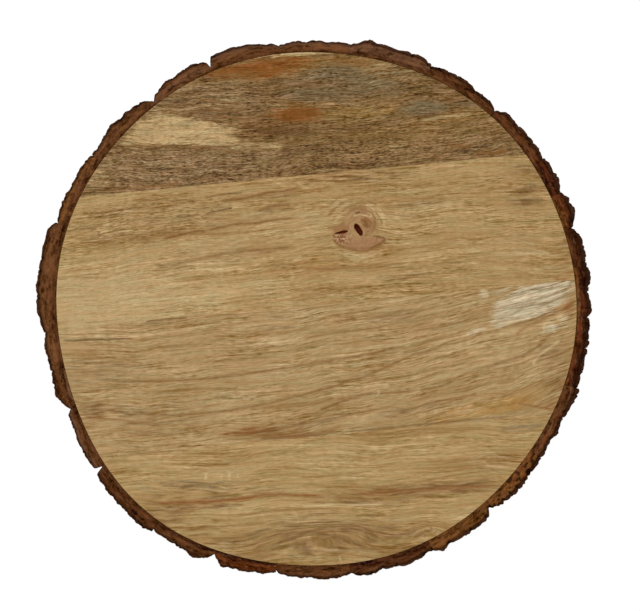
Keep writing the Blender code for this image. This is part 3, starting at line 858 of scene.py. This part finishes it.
def mark_plank(mesh, plank, points):
    """Stores the grain, the stains and the painted sheen, the thin lines and the knot at every vertex of
    a plank.
    """
    x, y, z = points.T
    nothing = np.zeros(len(x))
    along, line = grain_place(plank, x, y)
    add_attribute(mesh, "grain", along, line + WALL_GRAIN * (z - THICKNESS), nothing)
    masks = patch_masks(plank, x, y)
    for number, group in enumerate(STAIN_GROUPS):
        add_attribute(mesh, f"stains_{number + 1}", *(masks[kind] for kind in group))
    lines = line_masks(x, y)
    heart = cells = nothing
    if plank == KNOT_PLANK:
        heart, cells, lines["pit"] = knot_masks(x, y)
        lines["pit"] = lines["pit"] * (z > PIT_LOWEST)
    for number, group in enumerate(LINE_GROUPS):
        add_attribute(mesh, f"lines_{number + 1}", *(lines[kind] for kind in group))
    add_attribute(mesh, "knot", heart, cells, nothing)


def build_plank(plank, material):
    """One plank, in place of its CAD node."""
    node = f"plank_{plank + 1}"
    points, faces = plank_body(plank, plank_outline(node))
    piece = add_piece(f"{node}_wood", points, faces, material, node)
    mark_plank(piece.data, plank, points)
    piece.data.set_sharp_from_angle(angle=WOOD_SHARP_ANGLE)


def wall_faces(above, below):
    """The four-sided faces between two loops of vertices."""
    pairs = list(zip(above, below))
    return [(b, d, c, a) for (a, b), (c, d) in zip(pairs, pairs[1:] + pairs[:1])]


class Shader:
    """Adds nodes to one material and returns their outputs."""

    def __init__(self, name):
        self.material = bpy.data.materials.new(name)
        self.material.use_nodes = True
        self.tree = self.material.node_tree
        self.surface = self.tree.nodes["Principled BSDF"]

    def feed(self, socket, value):
        """Links an output to a socket, or sets the socket's own value."""
        if isinstance(value, bpy.types.NodeSocket):
            self.tree.links.new(value, socket)
        else:
            socket.default_value = value

    def node(self, kind, **settings):
        """Adds a node with some of its settings changed."""
        made = self.tree.nodes.new(kind)
        for name, value in settings.items():
            setattr(made, name, value)
        return made

    def values(self, name):
        """The three values of a vertex attribute."""
        parts = self.node("ShaderNodeSeparateXYZ")
        self.feed(parts.inputs[0], self.vector(name))
        return parts.outputs

    def vector(self, name):
        """A vertex attribute as one vector."""
        return self.node("ShaderNodeAttribute", attribute_name=name).outputs["Vector"]

    def math(self, operation, first, second=0.0, third=0.0):
        """One sum."""
        made = self.node("ShaderNodeMath", operation=operation)
        self.feed(made.inputs[0], first)
        self.feed(made.inputs[1], second)
        self.feed(made.inputs[2], third)
        return made.outputs[0]

    def times(self, first, second):
        """The product of two values."""
        return self.math("MULTIPLY", first, second)

    def rise(self, value, low, high, bottom=0.0, top=1.0):
        """Rises smoothly from bottom to top while the value goes from low to high."""
        made = self.node("ShaderNodeMapRange", interpolation_type="SMOOTHSTEP")
        self.feed(made.inputs["Value"], value)
        made.inputs["From Min"].default_value = low
        made.inputs["From Max"].default_value = high
        made.inputs["To Min"].default_value = bottom
        made.inputs["To Max"].default_value = top
        return made.outputs["Result"]

    def noise(self, place, sizes, detail=1.0, roughness=0.5, shift=0.0):
        """Random values round 0.5, their lumps as long, wide and high as the sizes."""
        scaled = self.node("ShaderNodeVectorMath", operation="MULTIPLY_ADD")
        self.feed(scaled.inputs[0], place)
        scaled.inputs[1].default_value = [1 / size for size in sizes]
        scaled.inputs[2].default_value = (shift, shift * 0.7, shift * 1.3)
        made = self.node("ShaderNodeTexNoise", noise_dimensions="3D")
        self.feed(made.inputs["Vector"], scaled.outputs[0])
        made.inputs["Scale"].default_value = 1.0
        made.inputs["Detail"].default_value = detail
        made.inputs["Roughness"].default_value = roughness
        return made.outputs[0]

    def mix(self, share, first, second, blend="MIX"):
        """Mixes two colours, each an output or sRGB levels."""
        made = self.node("ShaderNodeMix", data_type="RGBA", blend_type=blend)
        self.feed(made.inputs["Factor"], share)
        for side, colour in (("A", first), ("B", second)):
            plain = not isinstance(colour, bpy.types.NodeSocket)
            self.feed(made.inputs[side], to_linear(colour) if plain else colour)
        return made.outputs["Result"]

    def scale(self, colour, factor):
        """Makes a colour lighter or darker."""
        made = self.node("ShaderNodeVectorMath", operation="SCALE")
        self.feed(made.inputs[0], colour)
        self.feed(made.inputs["Scale"], factor)
        return made.outputs[0]

    def lift(self, colour, light, veil):
        """Makes a colour lighter or darker, its weak channels nearly as much as its strong ones."""
        made = self.node("ShaderNodeVectorMath", operation="MULTIPLY_ADD")
        self.feed(made.inputs[0], colour)
        self.feed(made.inputs[1], light)
        self.feed(made.inputs[2], self.math("MULTIPLY_ADD", light, veil, -veil))
        kept = self.node("ShaderNodeVectorMath", operation="MAXIMUM")
        self.feed(kept.inputs[0], made.outputs[0])
        kept.inputs[1].default_value = (0.002, 0.002, 0.002)
        return kept.outputs[0]

    def swing(self, *parts, start=0.0):
        """The start value plus each noise's swing round 0.5, times its weight."""
        total = start
        for value, weight in parts:
            total = self.math("MULTIPLY_ADD", self.math("SUBTRACT", value, 0.5), weight, total)
        return total

    def finish(self, colour, roughness, specular, height, strength, distance):
        """Sets the surface and its bump, whose distance is in millimetres, and returns the material."""
        bump = self.node("ShaderNodeBump")
        bump.inputs["Strength"].default_value = strength
        bump.inputs["Distance"].default_value = distance * MM
        self.feed(bump.inputs["Height"], height)
        self.feed(self.surface.inputs["Base Color"], colour)
        self.feed(self.surface.inputs["Roughness"], roughness)
        self.feed(self.surface.inputs["Specular IOR Level"], specular)
        self.feed(self.surface.inputs["Normal"], bump.outputs[0])
        return self.material


WARM_TINT = (255, 246, 239)
COOL_TINT = (246, 252, 249)
HEART_COLOUR = (160, 118, 81)
CELL_COLOURS = ((122, 76, 44), (190, 152, 114))
WOOD_ROUGHNESS = (0.46, 0.62)
WOOD_SPECULAR = 0.08
WOOD_SEED_STEP = 20.0
# Strength, and distance in millimetres.
WOOD_BUMP = (0.25, 0.12)


def add_stains(shader, colour, ragged):
    """Adds the stains and the painted silver sheen, with ragged edges: returns the colour and each kind's
    mask.
    """
    masks = {}
    for number, group in enumerate(STAIN_GROUPS):
        masks.update(zip(group, shader.values(f"stains_{number + 1}")))
    for kind, tint in STAIN_COLOURS.items():
        reach = shader.math("MULTIPLY_ADD", ragged, shader.rise(masks[kind], 0.0, 0.2), masks[kind])
        colour = shader.mix(shader.rise(reach, 0.0, 1.1), colour, tint)
    return colour, masks


def wood_material(name, timber, seed):
    """Sawn, oiled wood: growth bands, streaks, vessel dashes, stains, a painted silver sheen and thin
    lines.
    """
    shader = Shader(name)
    place = shader.vector("grain")
    bands = shader.noise(place, (190, 8, 8), 2, 0.55, seed)
    streaks = shader.noise(place, (62, 2.4, 8), 3, 0.6, seed + 3)
    length, width = timber.dash
    hairs = shader.noise(place, (4 * length, 0.9, 8), 2, 0.5, seed + 5)
    lines = shader.noise(place, (38, 1.7, 8), 1, 0.5, seed + 31)
    lines = shader.math("ABSOLUTE", shader.math("SUBTRACT", lines, 0.5))
    calm = shader.noise(place, (40, 14, 20), 2, 0.5, seed + 37)
    calm = shader.rise(calm, 0.38, 0.62, 1 - timber.calm, 1 + timber.calm)
    fine = shader.noise(place, (1.2 * length, 1.15 * width, 8), 1, 0.5, seed + 7)
    cloud = shader.noise(place, (46, 22, 30), 2, 0.5, seed + 11)
    dashes = shader.noise(place, (length, width, 8), 2, 0.6, seed + 17)
    hue = shader.noise(place, (22, 3.2, 8), 3, 0.65, seed + 41)
    across = shader.noise(place, (3.6, 11, 8), 1, 0.5, seed + 23)
    tear = shader.noise(place, (13, 1.7, 8), 3, 0.6, seed + 29)
    tone = shader.swing((bands, 0.9), (streaks, 0.8 * timber.streaks), (cloud, 0.8), start=0.5)
    colour = shader.mix(shader.rise(tone, 0.1, 0.5), timber.dark, timber.middle)
    colour = shader.mix(shader.rise(tone, 0.5, 0.9), colour, timber.pale)
    ragged = shader.swing((tear, 2.4), (streaks, 1.0), (fine, 0.6))
    colour, masks = add_stains(shader, colour, ragged)
    plain_mask = shader.math("MAXIMUM", masks["orange"], masks["pale"])
    pore_mask = masks["pores"]

    tint = shader.mix(shader.rise(hue, 0.3, 0.7), WARM_TINT, COOL_TINT)
    colour = shader.mix(1.0, colour, tint, "MULTIPLY")
    weights = [timber.contrast * weight for weight in (0.8 * timber.streaks, 1.1, 1.1, 0.9, 0.2)]
    grain = shader.swing(*zip((streaks, hairs, fine, dashes, across), weights))
    calm = shader.times(calm, shader.math("MULTIPLY_ADD", plain_mask, -0.5, 1.0))
    calm = shader.times(calm, shader.math("MULTIPLY_ADD", pore_mask, 0.35, 1.0))
    light = shader.math("MULTIPLY_ADD", grain, calm, 1.03)
    colour = shader.lift(colour, light, timber.veil)
    colour = shader.mix(shader.rise(hairs, 0.42, 0.26, 0, timber.lines), colour, timber.line)
    traced = shader.times(shader.rise(lines, 0.022, 0.0), calm)
    colour = shader.mix(shader.times(traced, timber.lines), colour, timber.line)
    depth = shader.math("MULTIPLY_ADD", pore_mask, 0.65, timber.pores)
    depth = shader.times(shader.rise(dashes, 0.53, 0.66), depth)
    colour = shader.mix(depth, colour, timber.pore)
    flecks = shader.times(shader.rise(dashes, 0.47, 0.34), pore_mask)
    colour = shader.mix(shader.times(flecks, 0.75), colour, timber.pale)
    colour = add_knot(shader, colour, grain)
    colour = add_lines(shader, colour, shader.swing((hairs, 2.8), (dashes, 2.4), start=0.95))
    roughness = shader.rise(dashes, 0.4, 0.8, *WOOD_ROUGHNESS)
    height = shader.math("SUBTRACT", fine, dashes)
    return shader.finish(colour, roughness, WOOD_SPECULAR, height, *WOOD_BUMP)


def add_knot(shader, colour, grain):
    """Adds the pink heart of the knot, and the speckled cells in its lip."""
    heart, cells, _ = shader.values("knot")
    faint = shader.math("MULTIPLY_ADD", grain, 0.4, 1.0)
    pink = shader.scale(to_linear(HEART_COLOUR)[:3], faint)
    colour = shader.mix(heart, colour, pink)
    solid = shader.node("ShaderNodeTexCoord").outputs["Object"]
    speckle = shader.noise(solid, (0.0015, 0.0014, 0.0015), 1, 0.5, 2.0)
    speckled = shader.mix(shader.rise(speckle, 0.42, 0.62), *CELL_COLOURS)
    return shader.mix(cells, colour, speckled)


def add_lines(shader, colour, uneven):
    """Adds the thin lines, which come and go along their length, and the open pits."""
    for number, group in enumerate(LINE_GROUPS):
        for kind, value in zip(group, shader.values(f"lines_{number + 1}")):
            share = value if kind == "pit" else shader.times(value, uneven)
            colour = shader.mix(share, colour, LINE_COLOURS[kind])
    return colour


# Bark.

BARK_TONES = {
    "maroon": (50, 23, 11),
    "umber": (66, 34, 16),
    "brown": (82, 48, 24),
    "rust": (94, 48, 21),
    "tan": (98, 61, 34),
    "fawn": (101, 67, 44),
    "ochre": (108, 67, 32),
}


class BarkPlate(NamedTuple):
    """A plate's tones from the board outwards, how crumbly its top is and how rough its edge."""

    rim: str
    middle: str
    outside: str
    crumbly: float
    rough: float


BARK_PLATES = (
    BarkPlate("ochre", "umber", "maroon", 0.3, 0.9),
    BarkPlate("brown", "umber", "umber", 0.2, 0.8),
    BarkPlate("ochre", "rust", "umber", 0.4, 0.8),
    BarkPlate("umber", "maroon", "maroon", 0.3, 0.7),
    BarkPlate("brown", "brown", "brown", 0.2, 0.7),
    BarkPlate("brown", "brown", "brown", 0.2, 0.6),
    BarkPlate("brown", "fawn", "fawn", 0.0, 0.4),
    BarkPlate("brown", "tan", "fawn", 0.0, 0.3),
    BarkPlate("brown", "tan", "fawn", 0.0, 0.35),
    BarkPlate("tan", "fawn", "tan", 0.05, 0.35),
    BarkPlate("brown", "tan", "tan", 0.1, 0.5),
    BarkPlate("brown", "tan", "ochre", 0.5, 0.5),
    BarkPlate("brown", "tan", "tan", 0.1, 0.35),
    BarkPlate("brown", "tan", "tan", 0.1, 0.4),
    BarkPlate("fawn", "brown", "brown", 0.2, 0.5),
    BarkPlate("brown", "brown", "fawn", 0.1, 0.4),
    BarkPlate("brown", "brown", "brown", 0.1, 0.6),
    BarkPlate("umber", "brown", "brown", 0.1, 0.5),
    BarkPlate("maroon", "rust", "rust", 0.3, 0.5),
    BarkPlate("brown", "brown", "tan", 0.1, 0.6),
    BarkPlate("maroon", "umber", "tan", 0.1, 0.5),
    BarkPlate("umber", "umber", "brown", 0.1, 0.6),
    BarkPlate("ochre", "ochre", "ochre", 0.2, 0.5),
    BarkPlate("ochre", "ochre", "ochre", 1.0, 0.8),
    BarkPlate("brown", "tan", "tan", 0.1, 0.8),
    BarkPlate("rust", "umber", "maroon", 0.3, 0.9),
)

BARK_STEP = 0.5
BARK_RAY_STEP = 0.25
BARK_RAY_HEIGHTS = 15
RAY_START = 250.0
INNER_RAY_START = 150.0
INNER_POINTS = 3
TOP_POINTS = 15
OUTER_POINTS = 32
UNDER_POINTS = 4
END_LENGTH = 1.3
END_SHARES = (0.0, 0.15, 0.45)
END_ROUNDING = 0.5
END_CLOSING = 0.046
# Narrow clefts at joints of the bark: direction, half width, depth.
NOTCHES = ((113.4, 1.1, 3.0), (-143.3, 1.2, 4.6))
RIM_CLOSING = 0.2
RAY_MARGIN = 0.05
THINNEST_BARK = 1.5
# The outer face starts this far below a plate's top, the top this far from its inner side, and the
# inner side ends this far below the top.
FACE_DROP = 0.25
TOP_START = 0.15
INNER_DROP = 1.2
BARK_SHARP_ANGLE = math.radians(60)
BARK_SEED = 100
BARK_SEED_STEP = 13
# How much of the fissures' depth every plate gets, and how much more a fully rough one.
LEAST_RELIEF = 0.3
ROUGH_RELIEF = 0.75
# Wear of a plate's top: by the board its depth and width, and outside the share of the width where
# it starts and how steeply it deepens.
INNER_WEAR = (0.35, 0.45)
OUTER_WEAR = (0.8, 12.5)


def bark_relief(arc, height, seed):
    """How deep the fissures of the outer face are, in millimetres, by the length round the rim."""
    wander = 0.8 * smooth_noise(arc / 9.0, height / 9.0, seed + 1)
    furrow = 1 - np.abs(smooth_noise(arc / 7.5 + wander, height / 19.0, seed + 2))
    cleft = 1 - np.abs(smooth_noise(arc / 3.2 + wander, height / 8.0, seed + 3))
    scale = 1 - np.abs(smooth_noise(arc / 6.0, height / 2.6 + wander, seed + 4))
    grit = smooth_noise(arc / 1.6, height / 1.6, seed + 5)
    lumps = np.abs(smooth_noise(arc / 3.4, height / 8.0, seed + 8))
    return 1.3 * furrow**6 + 0.7 * cleft**4 + 0.5 * scale**6 + 1.2 * lumps + 0.25 * grit - 1.0


def top_relief(arc, out, seed, crumbly):
    """How far the sawn top lies below its highest parts."""
    fibre = smooth_noise(arc / 2.6, out / 0.9, seed + 6)
    pits = step_up(0.1, 0.7, smooth_noise(arc / 2.3, out / 1.9, seed + 7))
    return 0.10 * np.abs(fibre) + crumbly * 1.5 * pits


def cast(tree, start_radius, directions, heights, outwards):
    """Radii at which rays towards the axis, or away from it, meet a plate."""
    radii = np.zeros((len(directions), len(heights)))
    for row, degrees in enumerate(directions):
        ray = Vector((math.cos(math.radians(degrees)), math.sin(math.radians(degrees)), 0))
        for column, height in enumerate(heights):
            origin = ray * start_radius + Vector((0, 0, height))
            hit = tree.ray_cast(origin, ray if outwards else -ray)[0]
            radii[row, column] = math.hypot(hit.x, hit.y) if hit else np.nan
    return radii


def fill_gaps(values):
    """Replaces missed readings by their neighbours along the plate."""
    for column in values.T:
        missed = np.isnan(column)
        column[missed] = np.interp(np.flatnonzero(missed), np.flatnonzero(~missed), column[~missed])
    return values


class Rays(NamedTuple):
    """A CAD plate as rays meet it: its ends, foot and top, and its radii by direction and height."""

    first: float
    last: float
    foot: float
    top: float
    directions: np.ndarray
    heights: np.ndarray
    inner: np.ndarray
    outer: np.ndarray


def measure_plate(node):
    """Measures a CAD plate from the side of the board and from outside."""
    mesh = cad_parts[node].data
    corners = vertices_of(node)
    middle = np.degrees(np.arctan2(corners[:, 1].mean(), corners[:, 0].mean()))
    turned = np.degrees(np.arctan2(corners[:, 1], corners[:, 0])) - middle
    turned = (turned + 180) % 360 - 180
    first, last = middle + turned.min() - END_CLOSING, middle + turned.max() + END_CLOSING
    foot, top = corners[:, 2].min(), corners[:, 2].max()
    tree = BVHTree.FromPolygons(corners.tolist(), [tuple(face.vertices) for face in mesh.polygons])
    count = max(3, round((last - first) / BARK_RAY_STEP))
    directions = np.linspace(first + 2 * END_CLOSING, last - 2 * END_CLOSING, count)
    heights = np.linspace(foot + RAY_MARGIN, top - RAY_MARGIN, BARK_RAY_HEIGHTS)
    half_way = heights[BARK_RAY_HEIGHTS // 2 :][:1]
    inner = fill_gaps(cast(tree, INNER_RAY_START, directions, half_way, True))[:, 0]
    outer = fill_gaps(cast(tree, RAY_START, directions, heights, False))
    return Rays(first, last, foot, top, directions, heights, inner - RIM_CLOSING, outer)


def section_runs(length):
    """Where the sections of a plate stand along the rim, closer together by its ends."""
    ends = END_LENGTH * np.array(END_SHARES)
    body = np.linspace(END_LENGTH, length - END_LENGTH, max(3, round(length / BARK_STEP)))
    return np.concatenate([ends, body, length - ends[::-1]])


def face_relief(plate, directions, radius, heights, rounding, seed):
    """How deep the fissures and the narrow clefts are in the outer face of a plate."""
    arc = directions * math.pi / 180 * radius
    depth_share = LEAST_RELIEF + ROUGH_RELIEF * plate.rough
    relief = depth_share * bark_relief(arc[:, None], heights[None, :], seed) + rounding
    for direction, width, depth in NOTCHES:
        away = np.radians(directions - direction) * radius
        relief = relief + depth * np.exp(-((away[:, None] / width) ** 2))
    return relief


def top_drop(plate, arc, out, share, relief, rounding, seed):
    """How far the top of a plate lies below its highest parts, worn at its inner and outer edges."""
    inner_depth, inner_width = INNER_WEAR
    outer_start, outer_rate = OUTER_WEAR
    drop = top_relief(arc[:, None], out, seed, plate.crumbly)
    drop = drop * step_up(0, 0.12, share)[None, :]
    drop = drop + inner_depth * np.exp(-((out / inner_width) ** 2)) + 0.4 * rounding
    worn = np.clip(share - outer_start, 0, 1)[None, :] ** 2
    return drop + outer_rate * worn * (1 + np.clip(relief, -1, 1))


def tube_faces(count, per_section):
    """The faces of a closed tube of sections, with its two ends."""
    faces = []
    for base in range(0, (count - 1) * per_section, per_section):
        for row in range(per_section):
            after = (row + 1) % per_section
            beyond = base + per_section
            faces.append((base + row, base + after, beyond + after, beyond + row))
    faces.append(tuple(reversed(range(per_section))))
    faces.append(tuple(range((count - 1) * per_section, count * per_section)))
    return faces


def build_bark(number, plate, material):
    """One plate of bark on the shape of its CAD node, with fissures, fibres and pits."""
    node = f"bark_{number + 1:02d}"
    seed = BARK_SEED + BARK_SEED_STEP * number
    rays = measure_plate(node)
    radius = rays.inner.mean()
    length = math.radians(rays.last - rays.first) * radius
    runs = section_runs(length)
    directions = rays.first + np.degrees(runs / radius)
    arc = directions * math.pi / 180 * radius
    to_end = np.clip(1 - np.minimum(runs, length - runs) / END_LENGTH, 0, 1)
    rounding = END_ROUNDING * to_end[:, None] ** 2

    heights = np.linspace(rays.top - FACE_DROP, rays.foot, OUTER_POINTS)
    inner = np.interp(directions, rays.directions, rays.inner)[:, None]
    columns = [np.interp(directions, rays.directions, column) for column in rays.outer.T]
    outer = np.array([np.interp(heights, rays.heights, row) for row in np.stack(columns, axis=1)])
    relief = face_relief(plate, directions, radius, heights, rounding, seed)
    face = inner + np.maximum(outer - inner - relief, THINNEST_BARK)

    top_share = np.linspace(0, 1, TOP_POINTS, endpoint=False)
    top_width = face[:, :1] - inner - TOP_START
    top_out = top_share[None, :] * top_width
    drop = top_drop(plate, arc, top_out, top_share, relief[:, :1], rounding, seed)
    under_share = np.linspace(1, 0, UNDER_POINTS + 1)[1:-1]
    under = inner + (face[:, -1:] - inner) * under_share[None, :]

    count = len(directions)
    radii = np.concatenate([np.repeat(inner, INNER_POINTS, axis=1), inner + top_out, face, under], axis=1)
    inner_heights = np.linspace(rays.foot, rays.top - INNER_DROP, INNER_POINTS)
    levels = np.concatenate(
        [
            np.tile(inner_heights, (count, 1)),
            rays.top - drop,
            np.tile(heights, (count, 1)),
            np.full((count, UNDER_POINTS - 1), rays.foot),
        ],
        axis=1,
    )
    angles = np.radians(directions)[:, None]
    points = np.stack([radii * np.cos(angles), radii * np.sin(angles), levels], axis=2)
    per_section = points.shape[1]
    faces = tube_faces(count, per_section)
    piece = add_piece(f"{node}_rough", points.reshape(-1, 3), faces, material, node)

    on_top = np.zeros((count, per_section))
    on_top[:, INNER_POINTS : INNER_POINTS + TOP_POINTS] = 1
    cavity = np.zeros((count, per_section))
    cavity[:, INNER_POINTS : INNER_POINTS + TOP_POINTS] = drop
    cavity[:, INNER_POINTS + TOP_POINTS : INNER_POINTS + TOP_POINTS + OUTER_POINTS] = relief
    outs = radii - inner
    share = np.clip(outs / (top_width + TOP_START), 0, 1)
    rough = np.full(share.size, plate.rough)
    mesh = piece.data
    add_attribute(mesh, "bark_place", np.repeat(arc[:, None], per_section, axis=1), outs, levels)
    add_attribute(mesh, "bark_form", share, cavity, on_top)
    add_attribute(mesh, "bark_tone", *bark_tone(plate, share).reshape(-1, 3).T)
    add_attribute(mesh, "bark_kind", rough, np.full(share.size, plate.crumbly), rough)
    mesh.set_sharp_from_angle(angle=BARK_SHARP_ANGLE)


def bark_tone(plate, share):
    """The tone of a plate, from its rim side to its outside."""
    names = (plate.rim, plate.middle, plate.outside)
    tones = [np.array(to_linear(BARK_TONES[name])[:3]) for name in names]
    first = step_up(0.15, 0.45, share)[..., None]
    second = step_up(0.5, 0.85, share)[..., None]
    return (tones[0] * (1 - first) + tones[1] * first) * (1 - second) + tones[2] * second


RUDDY_LIGHT = 1.45
BARK_ROUGHNESS = (0.62, 0.85)
# Strength, and distance in millimetres.
BARK_BUMP = (0.6, 0.5)
# Colours that come through the tone of a plate's top: the bark's own ruddy, blotch and fleck colours, a
# painted highlight for the sheen, painted shade along the outer edge partly from a dark crust, painted
# shade on the arris, and a glue line with painted shade by the board.
RUDDY = (112, 50, 20)
BLOTCH = (38, 15, 6)
FLECK = (150, 98, 46)
PAINTED_SHEEN = (112, 78, 56)
CRUST_AND_EDGE_SHADE = (28, 12, 6)
ARRIS_SHADE = (34, 17, 10)
GLUE_AND_SHADE = (58, 37, 18)
# Colours of the outer side, of the painted shade on its lip, and of its hollows.
SIDE_DEEP = (27, 12, 7)
SIDE_HIGH = (76, 45, 27)
SIDE_DUST = (96, 66, 50)
SIDE_ROUGH = (34, 16, 9)
LIP_SHADE = (28, 13, 8)
HOLLOW = (26, 11, 6)


def bark_top(shader, place, fibre, mottle, cloud, sheen_noise, grit):
    """The colour of the sawn top of the bark, with a painted sheen and painted shade along its edges."""
    tone = shader.vector("bark_tone")
    share, _, _ = shader.values("bark_form")
    rough, crumbly, _ = shader.values("bark_kind")
    light = shader.swing((fibre, 1.3), (mottle, 1.7), (cloud, 2.2), (grit, 1.6), start=1.0)
    colour = shader.lift(tone, light, 0.008)
    ruddy = shader.mix(shader.rise(rough, 0.5, 0.75), shader.scale(tone, RUDDY_LIGHT), RUDDY)
    colour = shader.mix(shader.rise(cloud, 0.5, 0.68, 0, 0.5), colour, ruddy)
    blotches = shader.times(shader.rise(mottle, 0.44, 0.3), shader.math("SUBTRACT", rough, 0.1))
    colour = shader.mix(shader.times(blotches, 0.6), colour, BLOTCH)
    flecks = shader.times(shader.rise(mottle, 0.56, 0.7), shader.math("ADD", crumbly, 0.1))
    colour = shader.mix(shader.times(flecks, 0.6), colour, FLECK)
    # Painted highlight: a lighter sheen in streaks, stronger on rougher plates.
    sheen = shader.math("MULTIPLY_ADD", rough, 0.4, 0.1)
    colour = shader.mix(shader.times(shader.rise(sheen_noise, 0.56, 0.72), sheen), colour, PAINTED_SHEEN)
    ragged = shader.swing((mottle, 0.5), (cloud, 0.4))
    # Painted shade along the outer edge of the top, partly a dark crust: wider and darker on rougher
    # plates, fainter on crumbly ones.
    edge = shader.math("ADD", shader.math("MULTIPLY_ADD", rough, 0.1, share), ragged)
    darkened = shader.math("MULTIPLY_ADD", rough, 0.4, 0.4)
    darkened = shader.math("MULTIPLY_ADD", crumbly, -0.5, darkened)
    colour = shader.mix(shader.times(shader.rise(edge, 0.8, 1.02), darkened), colour, CRUST_AND_EDGE_SHADE)
    # Painted shade on the outermost strip of the top.
    arris_shade = shader.math("MULTIPLY_ADD", ragged, 0.3, share)
    colour = shader.mix(shader.rise(arris_shade, 0.88, 1.0, 0, 0.7), colour, ARRIS_SHADE)
    # A dark glue line, with painted shade in the joint, on the top by the board.
    parts = shader.node("ShaderNodeSeparateXYZ")
    shader.feed(parts.inputs[0], place)
    seam = shader.math("ADD", parts.outputs[1], ragged)
    return shader.mix(shader.rise(seam, 0.7, 0.1, 0, 0.5), colour, GLUE_AND_SHADE)


def bark_side(shader, cavity, rough, fibre, mottle, grit):
    """The colour of the fissured, dusty outer side of the bark."""
    side = shader.mix(shader.rise(cavity, 0.8, -0.6), SIDE_DEEP, SIDE_HIGH)
    side = shader.mix(shader.rise(mottle, 0.5, 0.75, 0, 0.5), side, SIDE_DUST)
    side = shader.lift(side, shader.swing((fibre, 1.4), (grit, 1.6), start=1.0), 0.004)
    return shader.mix(shader.rise(rough, 0.45, 0.9, 0, 0.5), side, SIDE_ROUGH)


def bark_material():
    """Sawn bark on top, and dark, fissured, dusty bark on the outside, with painted shade on the edge
    between them.
    """
    shader = Shader("bark")
    place = shader.vector("bark_place")
    _, cavity, on_top = shader.values("bark_form")
    rough, _, _ = shader.values("bark_kind")
    fibre = shader.noise(place, (5.0, 1.0, 2.5), 3, 0.6, 1.0)
    mottle = shader.noise(place, (3.8, 1.9, 2.6), 2, 0.5, 4.0)
    cloud = shader.noise(place, (15.0, 3.2, 9.0), 2, 0.5, 8.0)
    sheen_noise = shader.noise(place, (4.5, 1.6, 3.0), 1, 0.5, 12.0)
    grit = shader.noise(place, (1.3, 0.8, 1.3), 2, 0.6, 16.0)
    top = bark_top(shader, place, fibre, mottle, cloud, sheen_noise, grit)
    colour = shader.mix(on_top, bark_side(shader, cavity, rough, fibre, mottle, grit), top)
    # Painted shade on the strip where the top turns into the outer side.
    lip = shader.times(on_top, shader.math("SUBTRACT", 1.0, on_top))
    colour = shader.mix(shader.rise(lip, 0.0, 0.25, 0, 0.45), colour, LIP_SHADE)
    colour = shader.mix(shader.rise(cavity, 0.45, 1.4, 0, 0.6), colour, HOLLOW)
    roughness = shader.rise(mottle, 0.3, 0.7, *BARK_ROUGHNESS)
    return shader.finish(colour, roughness, 0.0, shader.math("ADD", fibre, mottle), *BARK_BUMP)


# Stage.

PHOTO_WIDTH = 640
PHOTO_PIXEL = 0.73
LENS = 85.0
SENSOR = 36.0
CAMERA_X = 3.72
CAMERA_Y = 1.9
FLOOR_SIZE = 8.0
FLOOR_GAP = 0.1
FLOOR_GLOW = 0.93
WORLD_STRENGTH = 0.80
KEY_POWER = 14.0
KEY_SIZE = 1.4
KEY_PLACE = (-1.1, 1.0, 1.7)


def add_camera():
    """Looks straight down, so that the view is as wide as the photo at the height of the board's top."""
    data = bpy.data.cameras.new("camera")
    data.lens = LENS
    data.sensor_width = SENSOR
    data.clip_start = 0.01
    data.clip_end = 50
    distance = PHOTO_WIDTH * PHOTO_PIXEL * LENS / SENSOR
    camera = add_object("camera", data)
    camera.location = (CAMERA_X * MM, CAMERA_Y * MM, (THICKNESS + distance) * MM)
    bpy.context.scene.camera = camera


def add_floor():
    """A plain white floor that glows a little, so that shadows on it stay faint."""
    half = FLOOR_SIZE / 2
    mesh = bpy.data.meshes.new("floor")
    corners = [(-half, -half), (half, -half), (half, half), (-half, half)]
    mesh.from_pydata([(x, y, -FLOOR_GAP * MM) for x, y in corners], [], [(0, 1, 2, 3)])
    shader = Shader("floor")
    dim = 1 - FLOOR_GLOW
    shader.surface.inputs["Base Color"].default_value = (dim, dim, dim, 1)
    shader.surface.inputs["Roughness"].default_value = 1.0
    shader.surface.inputs["Specular IOR Level"].default_value = 0.0
    shader.surface.inputs["Emission Color"].default_value = (1, 1, 1, 1)
    shader.surface.inputs["Emission Strength"].default_value = FLOOR_GLOW + 0.03
    mesh.materials.append(shader.material)
    floor = add_object("floor", mesh)


def add_light():
    """Even white surroundings and one large soft lamp from the upper left."""
    world = bpy.data.worlds.new("surroundings")
    world.use_nodes = True
    background = world.node_tree.nodes["Background"]
    background.inputs["Color"].default_value = (1, 1, 1, 1)
    background.inputs["Strength"].default_value = WORLD_STRENGTH
    bpy.context.scene.world = world
    data = bpy.data.lights.new("key", "AREA")
    data.energy = KEY_POWER
    data.size = KEY_SIZE
    key = add_object("key", data)
    key.location = KEY_PLACE
    key.rotation_euler = (-Vector(KEY_PLACE)).to_track_quat("-Z", "Y").to_euler()


def build():
    """Dresses the frame and sets the stage."""
    for plank, timber in enumerate(TIMBERS):
        build_plank(plank, wood_material(f"wood_{plank + 1}", timber, WOOD_SEED_STEP * plank))
    bark = bark_material()
    for number, plate in enumerate(BARK_PLATES):
        build_bark(number, plate, bark)
    add_camera()
    add_floor()
    add_light()
    bpy.context.scene.view_settings.view_transform = "Standard"


build()
